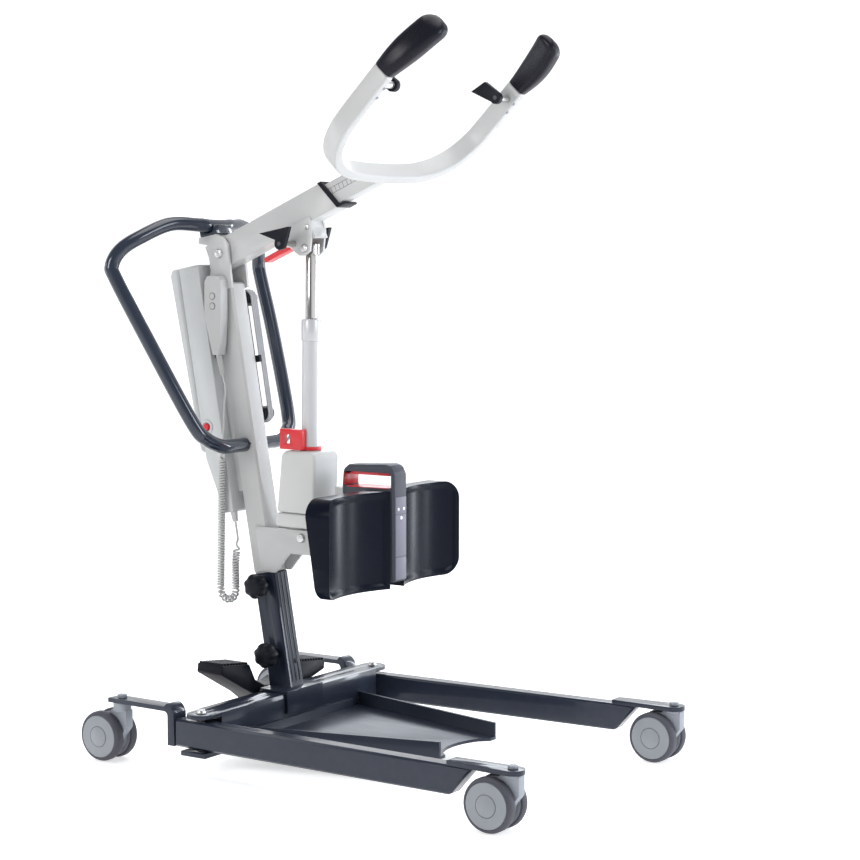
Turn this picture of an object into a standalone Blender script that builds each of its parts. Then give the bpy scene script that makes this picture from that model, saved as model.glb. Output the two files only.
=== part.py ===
"""Sit-to-stand lift: splayed legs on twin-wheel castors, a leaning mast, a boom with a telescopic
U-shaped arm, a linear actuator, a padded knee support, a push handle and a hand control.

Metres, +Z up, +X towards the person being lifted, +Y to the left. The floor is z = 0."""
import math

import bmesh
import bpy
from mathutils import Matrix
from mathutils import Vector

# Clearance between pieces that touch or slide on each other.
CLEAR = 0.0003

# Base: castors, legs and cross beam.
WHEELBASE = 0.9245
FRONT_TRACK = 0.618
REAR_TRACK = 0.566
PIVOT_BACK = 0.7166
WHEEL_D = 0.100
WHEEL_W = 0.022
WHEEL_GAP = 0.022
CASTOR_TRAIL = 0.0357
AXLE_D = 0.012
STEM_D = 0.012
CASTOR_BOSS_D = 0.036
CASTOR_TOP = 0.1045
NOSE_R = 0.022
LEG_H = 0.054
LEG_W = 0.034
LEG_BOTTOM = 0.053
FRONT_PLATE_T = 0.008
STRAP_T = 0.009
STRAP_W = 0.036
STRAP_TOP = 0.128
BEAM_TOP = 0.122
BEAM_PLATE_T = 0.008
BEAM_WALL_T = 0.006
BEAM_BOTTOM = 0.047
BEAM_FRONT = 0.0286
BEAM_BACK = 0.033
BEAM_END_R = 0.028
FORK_T = 0.009
FORK_BOTTOM = 0.040
PIVOT_BOLT_D = 0.014
TIE_BAR_W = 0.020
TIE_BAR_T = 0.010

# Foot pedal that spreads and closes the legs.
PEDAL_AXLE_Z = 0.100
PEDAL_AXLE_D = 0.012
PEDAL_HALF = 0.175
PEDAL_DEPTH = 0.066
PEDAL_RISE = 0.068
PEDAL_REST = math.radians(7.0)

# Footplate tray.
TRAY_LENGTH = 0.400
TRAY_REAR_HALF = 0.200
TRAY_FRONT_HALF = 0.102
TRAY_T = 0.006
TRAY_FLOOR = 0.050
TRAY_RIM_H = 0.034
TRAY_RIM_T = 0.006
TRAY_CUT = 0.035

# Mast and its socket.
MAST_LEAN = math.radians(10.0)
MAST_BACK = 0.012
MAST_DEPTH = 0.052
MAST_WIDTH = 0.046
MAST_WALL = 0.003
MAST_FOOT_W = 0.240
MAST_TOP_W = 0.838
SPIGOT_START_W = 0.030
SADDLE_HALF = 0.060
SADDLE_T = 0.006
SADDLE_LIP = 0.045
HEAD_PLATE_T = 0.006
HEAD_RISE = 0.102
HEAD_OVERLAP = 0.012
KNOB_D = 0.048
KNOB_NECK = 0.016
KNOB_T = 0.026
KNOB_WS = (0.074, 0.216)

# Push handle.
HANDLE_TUBE_D = 0.029
HANDLE_TOP_U = -0.0107
HANDLE_SEAT = 0.021
HANDLE_FOOT_W = 0.505
HANDLE_HALF = 0.236
HANDLE_BACK = 0.164

# Boom with telescopic tube.
BOOM_PIVOT_U = 0.010
BOOM_PIVOT_RISE = 0.061
BOOM_RISE = math.radians(23.1)
BOOM_H = 0.060
BOOM_W = 0.040
BOOM_WALL = 0.003
BOOM_TAIL = 0.035
BOOM_REACH = 0.2915
COLLAR_LENGTH = 0.009
COLLAR_LIP = 0.002
COLLAR_SHELF = 0.020
INNER_H = 0.048
INNER_W = 0.030
INNER_WALL = 0.003
INNER_START = 0.150
PIVOT_PIN_D = 0.012
CLEVIS_X = 0.2017
CLEVIS_DROP = 0.075
CLEVIS_T = 0.005
CLEVIS_PIN_D = 0.010

# U-shaped arm with hand grips.
ARM_X = 0.409
ARM_Z = -0.0278
ARM_RISE = math.radians(45.0)
ARM_H = 0.040
ARM_T = 0.020
ARM_HALF = 0.2325
ARM_LENGTH = 0.255
HOOK_DOWN = 0.028
HOOK_Z = 0.016
HOOK_STAND = 0.036
HOOK_T = 0.012
HOOK_R = 0.0125
HOOK_POST_D = 0.014
GRIP_LENGTH = 0.132
GRIP_R = 0.028
GRIP_SLIM = 0.74
GRIP_TURN_IN = 0.036
GRIP_DROP = 0.009

# Linear actuator.
FOOT_U = 0.1145
FOOT_W = 0.3004
HOUSING_W = 0.083
HOUSING_BACK = 0.044
HOUSING_FRONT = 0.041
HOUSING_HEEL = 0.013
HOUSING_CHAMFER = 0.009
HOUSING_BOTTOM = 0.021
HOUSING_TOP = 0.176
LUG_T = 0.030
FOOT_PIN_D = 0.012
TUBE_D = 0.036
TUBE_COLLAR_D = 0.040
TUBE_TOP = 0.441
TUBE_COLLAR_H = 0.044
ROD_D = 0.024
ROD_START = 0.276
ROD_HEAD_T = 0.020
ROD_SLOT_BACK = 0.017
ROD_SLOT_FRONT = 0.008
RELEASE_RING_D = 0.044
RELEASE_RING_H = 0.007
RELEASE_H = 0.042

# Knee support, measured from the centre of the castor plan.
KNEE_FRONT = 0.048
KNEE_REAR = -0.078
KNEE_BOTTOM = 0.365
KNEE_TOP = 0.597
KNEE_W = 0.047
KNEE_HOLE_BOTTOM = 0.549
KNEE_HOLE_TOP = 0.580
KNEE_HOLE_MARGIN = 0.007
KNEE_TRIGGER_TRAVEL = 0.005
KNEE_RAIL = 0.024
RAIL_TOP = 0.545
BRACKET_T = 0.006
BRACKET_TOP = 0.4535
BRACKET_BOTTOM = 0.404
PAD_OUTER = 0.2265
PAD_BOTTOM = 0.352
PAD_TOP = 0.545
PAD_T = 0.056
PAD_HOLLOW = 0.026
PAD_TAPER = 0.020
PAD_COLUMNS = 8
PAD_ROWS = 4

# Control box, hand control and cords on the mast.
BOX_HALF = 0.045
BOX_GAP = 0.0105
BOX_DEPTH = 0.055
BOX_BOTTOM_W = 0.372
BOX_TOP_W = 0.885
BATTERY_BOTTOM_W = 0.500
BATTERY_DEPTH = 0.024
STOP_D = 0.016
STOP_U = -0.074
STOP_W = 0.5527
STOP_TRAVEL = 0.003
HANDSET_U = 0.0024
HANDSET_BACK = 0.0295
HANDSET_T = 0.0225
HANDSET_W = 0.0426
HANDSET_RISE = 0.0163
HANDSET_LENGTH = 0.161
HANDSET_LEAN = 0.007
BUTTON_D = 0.012
BUTTON_DROPS = (0.041, 0.061)
RELIEF_LENGTH = 0.042
CORD_D = 0.0045
CORD_ASIDE = 0.0105
CORD_DROP = 0.158
LEAD_LENGTH = 0.149
LOOP_W = 0.039
CURL_D = 0.0145
CURLS = 48
CURL_POINTS = 8
GLAND_U = -0.045
GLAND_Y = -0.033
GLAND_LENGTH = 0.020
HANGER_U = 0.012
HANGER_DROP = 0.034
HANGER_LIFT = 0.060
PEG_D = 0.030
WINDING_LOOPS = 4
WINDING_STEP = 0.0052

for stale in list(bpy.data.objects):
    bpy.data.objects.remove(stale)

PARTS = bpy.data.collections.new("sit_to_stand_lift")
CUTTERS = bpy.data.collections.new("cutters")
bpy.context.scene.collection.children.link(PARTS)
bpy.context.scene.collection.children.link(CUTTERS)


# Paints and plastics.
def paint(name, colour, roughness, metallic=0.0):
    """One Principled material."""
    made = bpy.data.materials.new(name)
    made.use_nodes = True
    shader = made.node_tree.nodes["Principled BSDF"]
    shader.inputs["Base Color"].default_value = (*colour, 1.0)
    shader.inputs["Roughness"].default_value = roughness
    shader.inputs["Metallic"].default_value = metallic
    return made


GREY_PAINT = paint("light_grey_paint", (0.56, 0.56, 0.55), 0.4)
NAVY_PAINT = paint("navy_grey_paint", (0.030, 0.036, 0.050), 0.4)
HANDLE_PAINT = paint("handle_paint", (0.035, 0.047, 0.070), 0.3)
WHITE_PLASTIC = paint("white_plastic", (0.72, 0.72, 0.70), 0.45)
BOX_PLASTIC = paint("box_plastic", (0.55, 0.56, 0.56), 0.5)
BLACK_PLASTIC = paint("black_plastic", (0.021, 0.021, 0.026), 0.5)
RED_PLASTIC = paint("red_plastic", (0.70, 0.022, 0.033), 0.4)
KNEE_PLASTIC = paint("knee_frame_plastic", (0.070, 0.074, 0.090), 0.5)
PAD_FOAM = paint("moulded_foam", (0.013, 0.017, 0.030), 0.35)
WHEEL_RUBBER = paint("wheel_rubber", (0.090, 0.092, 0.115), 0.6)
CASTOR_PLASTIC = paint("castor_plastic", (0.32, 0.34, 0.38), 0.5)
ZINC = paint("zinc_steel", (0.62, 0.62, 0.63), 0.3, 1.0)
CHROME = paint("chromed_steel", (0.80, 0.80, 0.82), 0.12, 1.0)
CORD_PLASTIC = paint("cord_plastic", (0.50, 0.50, 0.49), 0.55)


# Frames that pieces are parented to.
def frame_at(name, parent, place, turn=(0.0, 0.0, 0.0)):
    """An empty at a place, turned, under its parent."""
    empty = bpy.data.objects.new(name, None)
    PARTS.objects.link(empty)
    empty.parent = parent
    empty.location = place
    empty.rotation_euler = turn
    return empty


# Modelling tools.
def as_object(name, mesh, frame, finish=None):
    """An object for a mesh whose points are in its frame."""
    made = bpy.data.objects.new(name, mesh)
    PARTS.objects.link(made)
    made.parent = frame
    if finish is not None:
        mesh.materials.append(finish)
    return made


def tidy_mesh(mesh):
    """Weld loose caps, turn faces outwards and shade round faces smooth."""
    work = bmesh.new()
    work.from_mesh(mesh)
    bmesh.ops.remove_doubles(work, verts=work.verts, dist=1e-6)
    bmesh.ops.recalc_face_normals(work, faces=work.faces)
    work.to_mesh(mesh)
    work.free()
    mesh.shade_smooth()
    mesh.set_sharp_from_angle(angle=math.radians(40))


def block(name, frame, low, high, finish=None, bevel=0.0):
    """A box between two corners, with rounded edges if asked."""
    work = bmesh.new()
    size = [top - bottom for bottom, top in zip(low, high)]
    middle = [(top + bottom) / 2 for bottom, top in zip(low, high)]
    place = Matrix.Translation(middle) @ Matrix.Diagonal((*size, 1.0))
    bmesh.ops.create_cube(work, size=1.0, matrix=place)
    mesh = bpy.data.meshes.new(name)
    work.to_mesh(mesh)
    work.free()
    made = as_object(name, mesh, frame, finish)
    if bevel:
        round_edges(made, bevel)
    return made


def round_edges(made, width, segments=1):
    """Bevel the sharp edges."""
    bevel = made.modifiers.new("rounded_edges", "BEVEL")
    bevel.width = width
    bevel.segments = segments
    bevel.limit_method = "ANGLE"
    bevel.angle_limit = math.radians(40)


def cylinder(name, frame, start, along, length, diameter, finish=None, sides=14, end_diameter=None):
    """A round bar or cone from a start point along a direction."""
    work = bmesh.new()
    far_end = diameter if end_diameter is None else end_diameter
    bmesh.ops.create_cone(work, cap_ends=True, segments=sides, radius1=diameter / 2, radius2=far_end / 2,
                          depth=length)
    lift = Matrix.Translation((0, 0, length / 2))
    turn = Vector((0, 0, 1)).rotation_difference(Vector(along)).to_matrix().to_4x4()
    bmesh.ops.transform(work, matrix=Matrix.Translation(start) @ turn @ lift, verts=work.verts)
    mesh = bpy.data.meshes.new(name)
    work.to_mesh(mesh)
    work.free()
    tidy_mesh(mesh)
    return as_object(name, mesh, frame, finish)


FLAT_PLANES = {
    "XZ": Matrix(((1, 0, 0, 0), (0, 0, -1, 0), (0, 1, 0, 0), (0, 0, 0, 1))),
    "YZ": Matrix(((0, 0, 1, 0), (1, 0, 0, 0), (0, 1, 0, 0), (0, 0, 0, 1))),
    "XY": Matrix.Identity(4),
}


def curve_to_object(curve, frame, finish, place=None):
    """Turn a curve into a plain mesh object in its frame."""
    holder = bpy.data.objects.new(curve.name, curve)
    CUTTERS.objects.link(holder)
    bpy.context.view_layer.update()
    mesh = bpy.data.meshes.new_from_object(holder.evaluated_get(bpy.context.evaluated_depsgraph_get()))
    name = curve.name
    bpy.data.objects.remove(holder)
    mesh.materials.clear()
    if place is not None:
        mesh.transform(place)
    tidy_mesh(mesh)
    return as_object(name, mesh, frame, finish)


def plate(name, frame, outline, plane, low, high, finish=None, bevel=0.0):
    """A flat outline in a plane, given thickness between two offsets along the plane's normal."""
    curve = bpy.data.curves.new(name, "CURVE")
    curve.dimensions = "2D"
    curve.fill_mode = "BOTH"
    curve.extrude = (high - low) / 2
    spline = curve.splines.new("POLY")
    spline.points.add(len(outline) - 1)
    for point, (across, up) in zip(spline.points, outline):
        point.co = (across, up, 0.0, 1.0)
    spline.use_cyclic_u = True
    middle = (low + high) / 2
    if plane == "XZ":
        middle = -middle
    place = FLAT_PLANES[plane] @ Matrix.Translation((0, 0, middle))
    made = curve_to_object(curve, frame, finish, place)
    if bevel:
        round_edges(made, bevel)
    return made


def tube(name, frame, points, diameter, finish=None, resolution=3, radii=None, place=None):
    """A round tube along points, with filled ends."""
    curve = bpy.data.curves.new(name, "CURVE")
    curve.dimensions = "3D"
    curve.bevel_depth = diameter / 2
    curve.bevel_resolution = resolution
    curve.use_fill_caps = True
    curve.twist_mode = "MINIMUM"
    spline = curve.splines.new("POLY")
    spline.points.add(len(points) - 1)
    for index, (point, where) in enumerate(zip(spline.points, points)):
        point.co = (*where, 1.0)
        if radii is not None:
            point.radius = radii[index]
    return curve_to_object(curve, frame, finish, place)


def turned(name, frame, profile, start, along, finish=None, steps=20):
    """A turned ring: a closed profile of (radius, height) spun round an axis."""
    mesh = bpy.data.meshes.new(name)
    points = [(radius, 0.0, height) for radius, height in profile]
    edges = [(index, (index + 1) % len(points)) for index in range(len(points))]
    mesh.from_pydata(points, edges, [])
    holder = bpy.data.objects.new(name + "_profile", mesh)
    CUTTERS.objects.link(holder)
    spin = holder.modifiers.new("spin", "SCREW")
    spin.steps = steps
    spin.render_steps = steps
    spin.use_merge_vertices = True
    spin.merge_threshold = 1e-5
    bpy.context.view_layer.update()
    spun = bpy.data.meshes.new_from_object(holder.evaluated_get(bpy.context.evaluated_depsgraph_get()))
    bpy.data.objects.remove(holder)
    turn = Vector((0, 0, 1)).rotation_difference(Vector(along)).to_matrix().to_4x4()
    spun.transform(Matrix.Translation(start) @ turn)
    tidy_mesh(spun)
    return as_object(name, spun, frame, finish)


def combine(target, tools, operation):
    """Join tools to a piece or cut them out of it."""
    for tool in tools:
        step = target.modifiers.new(tool.name, "BOOLEAN")
        step.operation = operation
        step.solver = "EXACT"
        step.object = tool
        PARTS.objects.unlink(tool)
        CUTTERS.objects.link(tool)
        tool.hide_render = True
        tool.display_type = "WIRE"
    return target


def weld(target, *tools):
    """Join pieces into one solid."""
    return combine(target, tools, "UNION")


def cut(target, *tools):
    """Cut pieces out of a solid."""
    return combine(target, tools, "DIFFERENCE")


def arc(centre, radius, start, end, steps):
    """Points on an arc, angles in degrees."""
    angles = [math.radians(start + (end - start) * step / steps) for step in range(steps + 1)]
    return [(centre[0] + radius * math.cos(a), centre[1] + radius * math.sin(a)) for a in angles]


def smooth_path(points, per_span):
    """Points read from a smooth curve through the given points."""
    path = [Vector(point) for point in points]
    ends = [2 * path[0] - path[1]] + path + [2 * path[-1] - path[-2]]
    made = []
    for index in range(1, len(ends) - 2):
        before, here, there, after = ends[index - 1:index + 3]
        for step in range(per_span):
            t = step / per_span
            slope_in = (there - before) / 2
            slope_out = (after - here) / 2
            made.append((2 * t**3 - 3 * t**2 + 1) * here + (t**3 - 2 * t**2 + t) * slope_in
                        + (3 * t**2 - 2 * t**3) * there + (t**3 - t**2) * slope_out)
    made.append(path[-1])
    return made


# Places worked out from the driving dimensions.
HEAD_TOP_W = MAST_TOP_W + HEAD_RISE
HANDLE_TOP_W = HEAD_TOP_W + HANDLE_SEAT
BOOM_PIVOT_W = MAST_TOP_W + BOOM_PIVOT_RISE
HANGER_WS = (HANDLE_FOOT_W + HANGER_LIFT, MAST_TOP_W - HANGER_DROP)
HANDSET_TOP_W = MAST_TOP_W + HANDSET_RISE
X_FRONT = (WHEELBASE + CASTOR_TRAIL + WHEEL_D / 2 - NOSE_R) / 2
X_PIVOT = X_FRONT - PIVOT_BACK
PIVOT_Y = (REAR_TRACK + (FRONT_TRACK - REAR_TRACK) * (WHEELBASE - PIVOT_BACK) / WHEELBASE) / 2
SPLAY = math.atan((FRONT_TRACK - REAR_TRACK) / 2 / WHEELBASE)
AXLE_Z = WHEEL_D / 2
LEG_TOP = LEG_BOTTOM + LEG_H
LEG_FRONT_RUN = PIVOT_BACK / math.cos(SPLAY)
LEG_REAR_RUN = (WHEELBASE - PIVOT_BACK) / math.cos(SPLAY)
X_MAST = X_PIVOT - MAST_BACK
MAST_BASE = Vector((X_MAST, 0.0, BEAM_TOP))
MAST_TURN = Matrix.Rotation(-MAST_LEAN, 3, "Y")
SIDES = (("left", 1), ("right", -1))


def mast_point(forward, aside, up):
    """World place of a point given in the mast's frame."""
    return MAST_BASE + MAST_TURN @ Vector((forward, aside, up))


MAST = frame_at("mast_frame", None, MAST_BASE, (0, -MAST_LEAN, 0))
HANDSET_PLACE = mast_point(HANDSET_U, 0, HANDSET_TOP_W)
HANDSET = frame_at("handset_frame", None, HANDSET_PLACE)
RELIEF_START = Vector((HANDSET_LEAN, -HANDSET_BACK - HANDSET_T / 2, -HANDSET_LENGTH))
RELIEF_ALONG = Vector((0.0095, 0, -0.042)).normalized()
BOOM_PIVOT = mast_point(BOOM_PIVOT_U, 0, BOOM_PIVOT_W)
BOOM = frame_at("boom_frame", None, BOOM_PIVOT, (0, -BOOM_RISE, 0))
BOOM_TURN = Matrix.Rotation(-BOOM_RISE, 3, "Y")
ARM = frame_at("arm_frame", None, BOOM_PIVOT + BOOM_TURN @ Vector((ARM_X, 0, ARM_Z)), (0, -ARM_RISE, 0))
CLEVIS_PLACE = BOOM_PIVOT + BOOM_TURN @ Vector((CLEVIS_X, 0, -CLEVIS_DROP))
FOOT_PLACE = mast_point(FOOT_U, 0, FOOT_W)
ROD_REACH = (CLEVIS_PLACE - FOOT_PLACE).length
ACTUATOR_TILT = math.atan2(CLEVIS_PLACE.x - FOOT_PLACE.x, CLEVIS_PLACE.z - FOOT_PLACE.z)
ACTUATOR = frame_at("actuator_frame", None, FOOT_PLACE, (0, ACTUATOR_TILT, 0))


# Base.
def make_cross_beam():
    """Channel across the base with a top plate over both leg pivots, forks below and the pedal axle."""
    wall_end = PIVOT_Y - LEG_W / 2 - 0.0105
    top = arc((X_PIVOT, PIVOT_Y), BEAM_END_R, 0, 180, 8) + arc((X_PIVOT, -PIVOT_Y), BEAM_END_R, 180, 360, 8)
    beam = plate("cross_beam", None, top, "XY", BEAM_TOP - BEAM_PLATE_T, BEAM_TOP, NAVY_PAINT)
    under = BEAM_TOP - BEAM_PLATE_T / 2
    front = X_PIVOT + BEAM_FRONT
    back = X_PIVOT - BEAM_BACK
    tools = [block("front_wall", None, (front - BEAM_WALL_T, -wall_end, BEAM_BOTTOM),
                   (front, wall_end, under)),
             block("back_wall", None, (back, -wall_end, BEAM_BOTTOM),
                   (back + BEAM_WALL_T, wall_end, under)),
             block("top_band", None, (back, -wall_end, BEAM_TOP - BEAM_PLATE_T),
                   (front, wall_end, BEAM_TOP - CLEAR))]
    for side, sign in SIDES:
        ends = sorted((sign * (wall_end - 0.055), sign * (PIVOT_Y + 0.024)))
        tools.append(block("fork_" + side, None, (back + 0.001, ends[0], FORK_BOTTOM),
                           (front - 0.001, ends[1], FORK_BOTTOM + FORK_T)))
    axle_start = back + BEAM_WALL_T / 2
    axle_length = BEAM_WALL_T / 2 + PEDAL_DEPTH + 0.018
    tools.append(cylinder("pedal_axle", None, (axle_start, 0, PEDAL_AXLE_Z), (-1, 0, 0), axle_length,
                          PEDAL_AXLE_D))
    weld(beam, *tools)
    holes = [cylinder("pivot_hole_" + side, None, (X_PIVOT, sign * PIVOT_Y, 0.02), (0, 0, 1), 0.15,
                      PIVOT_BOLT_D + 2 * CLEAR) for side, sign in SIDES]
    cut(beam, *holes)


def make_tie_bar(side, sign):
    """Flat bar under the beam's top plate that pushes a leg outwards."""
    ends = sorted((sign * 0.012, sign * (PIVOT_Y - 0.039)))
    top = BEAM_TOP - BEAM_PLATE_T - CLEAR
    block("tie_bar_" + side, None, (X_PIVOT - TIE_BAR_W / 2, ends[0], top - TIE_BAR_T),
          (X_PIVOT + TIE_BAR_W / 2, ends[1], top), ZINC)


def make_pivot_bolt(side, sign):
    """Bolt that carries a leg in the beam's fork."""
    frame = frame_at("pivot_" + side, None, (X_PIVOT, sign * PIVOT_Y, 0))
    bolt = cylinder("pivot_bolt_" + side, frame, (0, 0, FORK_BOTTOM - 0.002), (0, 0, 1),
                    BEAM_TOP + 0.004 - FORK_BOTTOM, PIVOT_BOLT_D, ZINC)
    weld(bolt, cylinder("bolt_head", frame, (0, 0, BEAM_TOP + CLEAR), (0, 0, 1), 0.007, 0.021,
                        sides=12, end_diameter=0.015))


def make_leg(side, sign):
    """Leg tube with its front castor plate and its rear castor strap."""
    frame = frame_at("leg_frame_" + side, None, (X_PIVOT, sign * PIVOT_Y, 0), (0, 0, sign * SPLAY))
    half = LEG_W / 2
    nose = LEG_FRONT_RUN - 0.076
    slant = 0.047
    tail = -0.055
    outline = [(tail, LEG_BOTTOM), (nose - slant, LEG_BOTTOM), (nose, LEG_TOP), (tail, LEG_TOP)]
    leg = plate("leg_" + side, frame, outline, "XZ", -half, half, NAVY_PAINT, 0.004)
    top = [(LEG_FRONT_RUN - 0.13, -half + 0.001)] + arc((LEG_FRONT_RUN, 0), NOSE_R, -90, 90, 10)
    top += [(LEG_FRONT_RUN - 0.13, half - 0.001)]
    front_plate = plate("front_plate", frame, top, "XY", LEG_TOP - 0.001, LEG_TOP + FRONT_PLATE_T)
    strap_low = STRAP_TOP - STRAP_T
    bend = 0.018
    back = -LEG_REAR_RUN - NOSE_R
    strap = [(back, strap_low), (tail - 0.008 - bend, strap_low)]
    strap += arc((tail - 0.008 - bend, strap_low - bend + STRAP_T), bend - STRAP_T, 90, 0, 4)
    strap += [(tail - 0.008 - STRAP_T, LEG_BOTTOM), (tail + 0.001, LEG_BOTTOM)]
    strap += arc((tail - 0.008 - bend, STRAP_TOP - bend), bend + 0.008, 0, 90, 6)[1:-1]
    strap += [(tail - 0.008 - bend, STRAP_TOP), (back, STRAP_TOP)]
    rear_strap = plate("rear_strap", frame, strap, "XZ", -STRAP_W / 2, STRAP_W / 2)
    weld(leg, front_plate, rear_strap)
    rings = (("front", LEG_FRONT_RUN), ("rear", -LEG_REAR_RUN))
    holes = [cylinder("stem_hole_" + end, frame, (run, 0, 0.09), (0, 0, 1), 0.06, STEM_D + 2 * CLEAR)
             for end, run in rings]
    holes.append(cylinder("leg_pivot_hole", frame, (0, 0, 0.03), (0, 0, 1), 0.10, PIVOT_BOLT_D + 2 * CLEAR))
    cut(leg, *holes)
    for end, run in rings:
        castor = frame_at("castor_frame_" + end + "_" + side, frame, (run, 0, 0), (0, 0, -sign * SPLAY))
        make_castor(end + "_" + side, castor, end)


def make_castor(place, frame, end):
    """Twin-wheel castor: hood with stem and axle, two wheels, and a brake tab on the rear ones."""
    web = WHEEL_GAP / 2 - 0.001
    seat = LEG_TOP - 0.001 if end == "front" else STRAP_TOP - STRAP_T
    head = LEG_TOP + FRONT_PLATE_T if end == "front" else STRAP_TOP
    boss = CASTOR_BOSS_D / 2
    reach = AXLE_Z + 0.020
    hood = [(boss, CASTOR_TOP), (-boss, CASTOR_TOP)]
    hood += arc((-CASTOR_TRAIL, AXLE_Z), 0.034, 100, 262, 8)
    hood += [(-CASTOR_TRAIL + 0.030, AXLE_Z - 0.012), (boss, reach)]
    castor = plate("castor_" + place, frame, hood, "XZ", -web, web, CASTOR_PLASTIC)
    tools = [cylinder("boss", frame, (0, 0, CASTOR_TOP - 0.003), (0, 0, 1),
                      seat - CLEAR - CASTOR_TOP + 0.003,
                      CASTOR_BOSS_D),
             cylinder("stem", frame, (0, 0, CASTOR_TOP - 0.005), (0, 0, 1), head - CASTOR_TOP + 0.008,
                      STEM_D),
             cylinder("nut", frame, (0, 0, head + CLEAR), (0, 0, 1), 0.006, 0.019, sides=6),
             cylinder("axle", frame, (-CASTOR_TRAIL, -web - WHEEL_W - 0.0015, AXLE_Z), (0, 1, 0),
                      2 * (web + WHEEL_W + 0.0015), AXLE_D)]
    weld(castor, *tools)
    if end == "rear":
        make_brake(place, frame, castor)
    bore = AXLE_D / 2 + CLEAR
    radius = WHEEL_D / 2
    inside = WHEEL_GAP / 2
    for hand, sign in (("inner", 1), ("outer", -1)):
        wheel_frame = frame_at("wheel_frame_" + place + "_" + hand, frame, (-CASTOR_TRAIL, 0, AXLE_Z))
        rim = [(radius - 0.004, inside), (radius, inside + 0.004), (radius, inside + WHEEL_W - 0.007),
               (radius - 0.006, inside + WHEEL_W), (bore + 0.003, inside + WHEEL_W),
               (bore, inside + WHEEL_W - 0.001), (bore, inside)]
        turned("wheel_" + place + "_" + hand, wheel_frame, rim[::-1], (0, 0, 0), (0, sign, 0), WHEEL_RUBBER)


def make_brake(place, frame, castor):
    """Foot tab hinged at the back of a castor hood."""
    width = WHEEL_GAP / 2 - 0.003
    pivot = (-CASTOR_TRAIL - 0.026, 0.0, AXLE_Z + 0.022)
    hinge = frame_at("brake_frame_" + place, frame, pivot)
    tab = [(0.008, -0.005), (0.008, 0.006), (-0.010, 0.010), (-0.024, 0.004), (-0.024, 0.000),
           (-0.008, -0.005)]
    brake = plate("brake_tab_" + place, hinge, tab, "XZ", -width, width, CASTOR_PLASTIC)
    cut(brake,
        cylinder("tab_bore", hinge, (0, -width - 0.002, 0), (0, 1, 0), 2 * width + 0.004, 0.005, sides=10))
    slot = [(-0.040, -0.014), (0.0115, -0.014), (0.0115, 0.030), (-0.040, 0.030)]
    pocket = plate("brake_pocket_" + place, hinge, slot, "XZ", -width - CLEAR, width + CLEAR)
    cut(castor, pocket)
    pin = cylinder("brake_pin_" + place, hinge, (0, -width - 0.0015, 0), (0, 1, 0), 2 * width + 0.003,
                   0.005 - 2 * CLEAR, sides=10)
    weld(castor, pin)


def make_pedal():
    """Rocking foot pedal behind the mast with a tread at each end."""
    back = X_PIVOT - BEAM_BACK - 0.014
    frame = frame_at("pedal_frame", None, (back, 0, PEDAL_AXLE_Z), (-PEDAL_REST, 0, 0))
    half = [(0.020, -0.018), (0.065, 0.006), (PEDAL_HALF, PEDAL_RISE - 0.018), (PEDAL_HALF, PEDAL_RISE),
            (0.085, PEDAL_RISE), (0.062, 0.036), (0.030, 0.024)]
    outline = half + [(-y, z) for y, z in reversed(half)]
    pedal = plate("pedal_rocker", frame, outline, "YZ", -PEDAL_DEPTH, 0, BLACK_PLASTIC, 0.003)
    cut(pedal, cylinder("pedal_bore", frame, (-PEDAL_DEPTH - 0.01, 0, 0), (1, 0, 0), PEDAL_DEPTH + 0.02,
                        PEDAL_AXLE_D + 2 * CLEAR))


def make_footplate():
    """Tray for the feet, narrower and cut out at the front, with raised side rims."""
    back = X_PIVOT + BEAM_FRONT + CLEAR
    front = back + TRAY_LENGTH
    cut_depth = TRAY_CUT
    reach = TRAY_FRONT_HALF - 0.020
    notch = [(front - cut_depth * math.cos(math.pi / 2 * y / reach) ** 0.6, y)
             for y in [reach * (1 - step / 5) for step in range(1, 10)]]
    outline = [(back, -TRAY_REAR_HALF), (front, -TRAY_FRONT_HALF), (front, -reach)]
    outline += list(reversed(notch)) + [(front, reach), (front, TRAY_FRONT_HALF), (back, TRAY_REAR_HALF)]
    tray = plate("footplate", None, outline, "XY", TRAY_FLOOR, TRAY_FLOOR + TRAY_T, NAVY_PAINT)
    rims = []
    for side, sign in SIDES:
        inset = TRAY_RIM_T - CLEAR
        rim = [(back + CLEAR, sign * (TRAY_REAR_HALF + CLEAR)),
               (front - CLEAR, sign * (TRAY_FRONT_HALF + CLEAR)),
               (front - CLEAR, sign * (TRAY_FRONT_HALF - inset)),
               (back + CLEAR, sign * (TRAY_REAR_HALF - inset))]
        rims.append(plate("rim_" + side, None, rim, "XY", TRAY_FLOOR + 0.001, TRAY_FLOOR + TRAY_RIM_H))
    rims.append(block("rear_flange", None, (back + CLEAR, -TRAY_REAR_HALF + 0.03, TRAY_FLOOR + 0.001),
                      (back + 0.005, TRAY_REAR_HALF - 0.03, TRAY_FLOOR + 0.024)))
    weld(tray, *rims)


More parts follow.
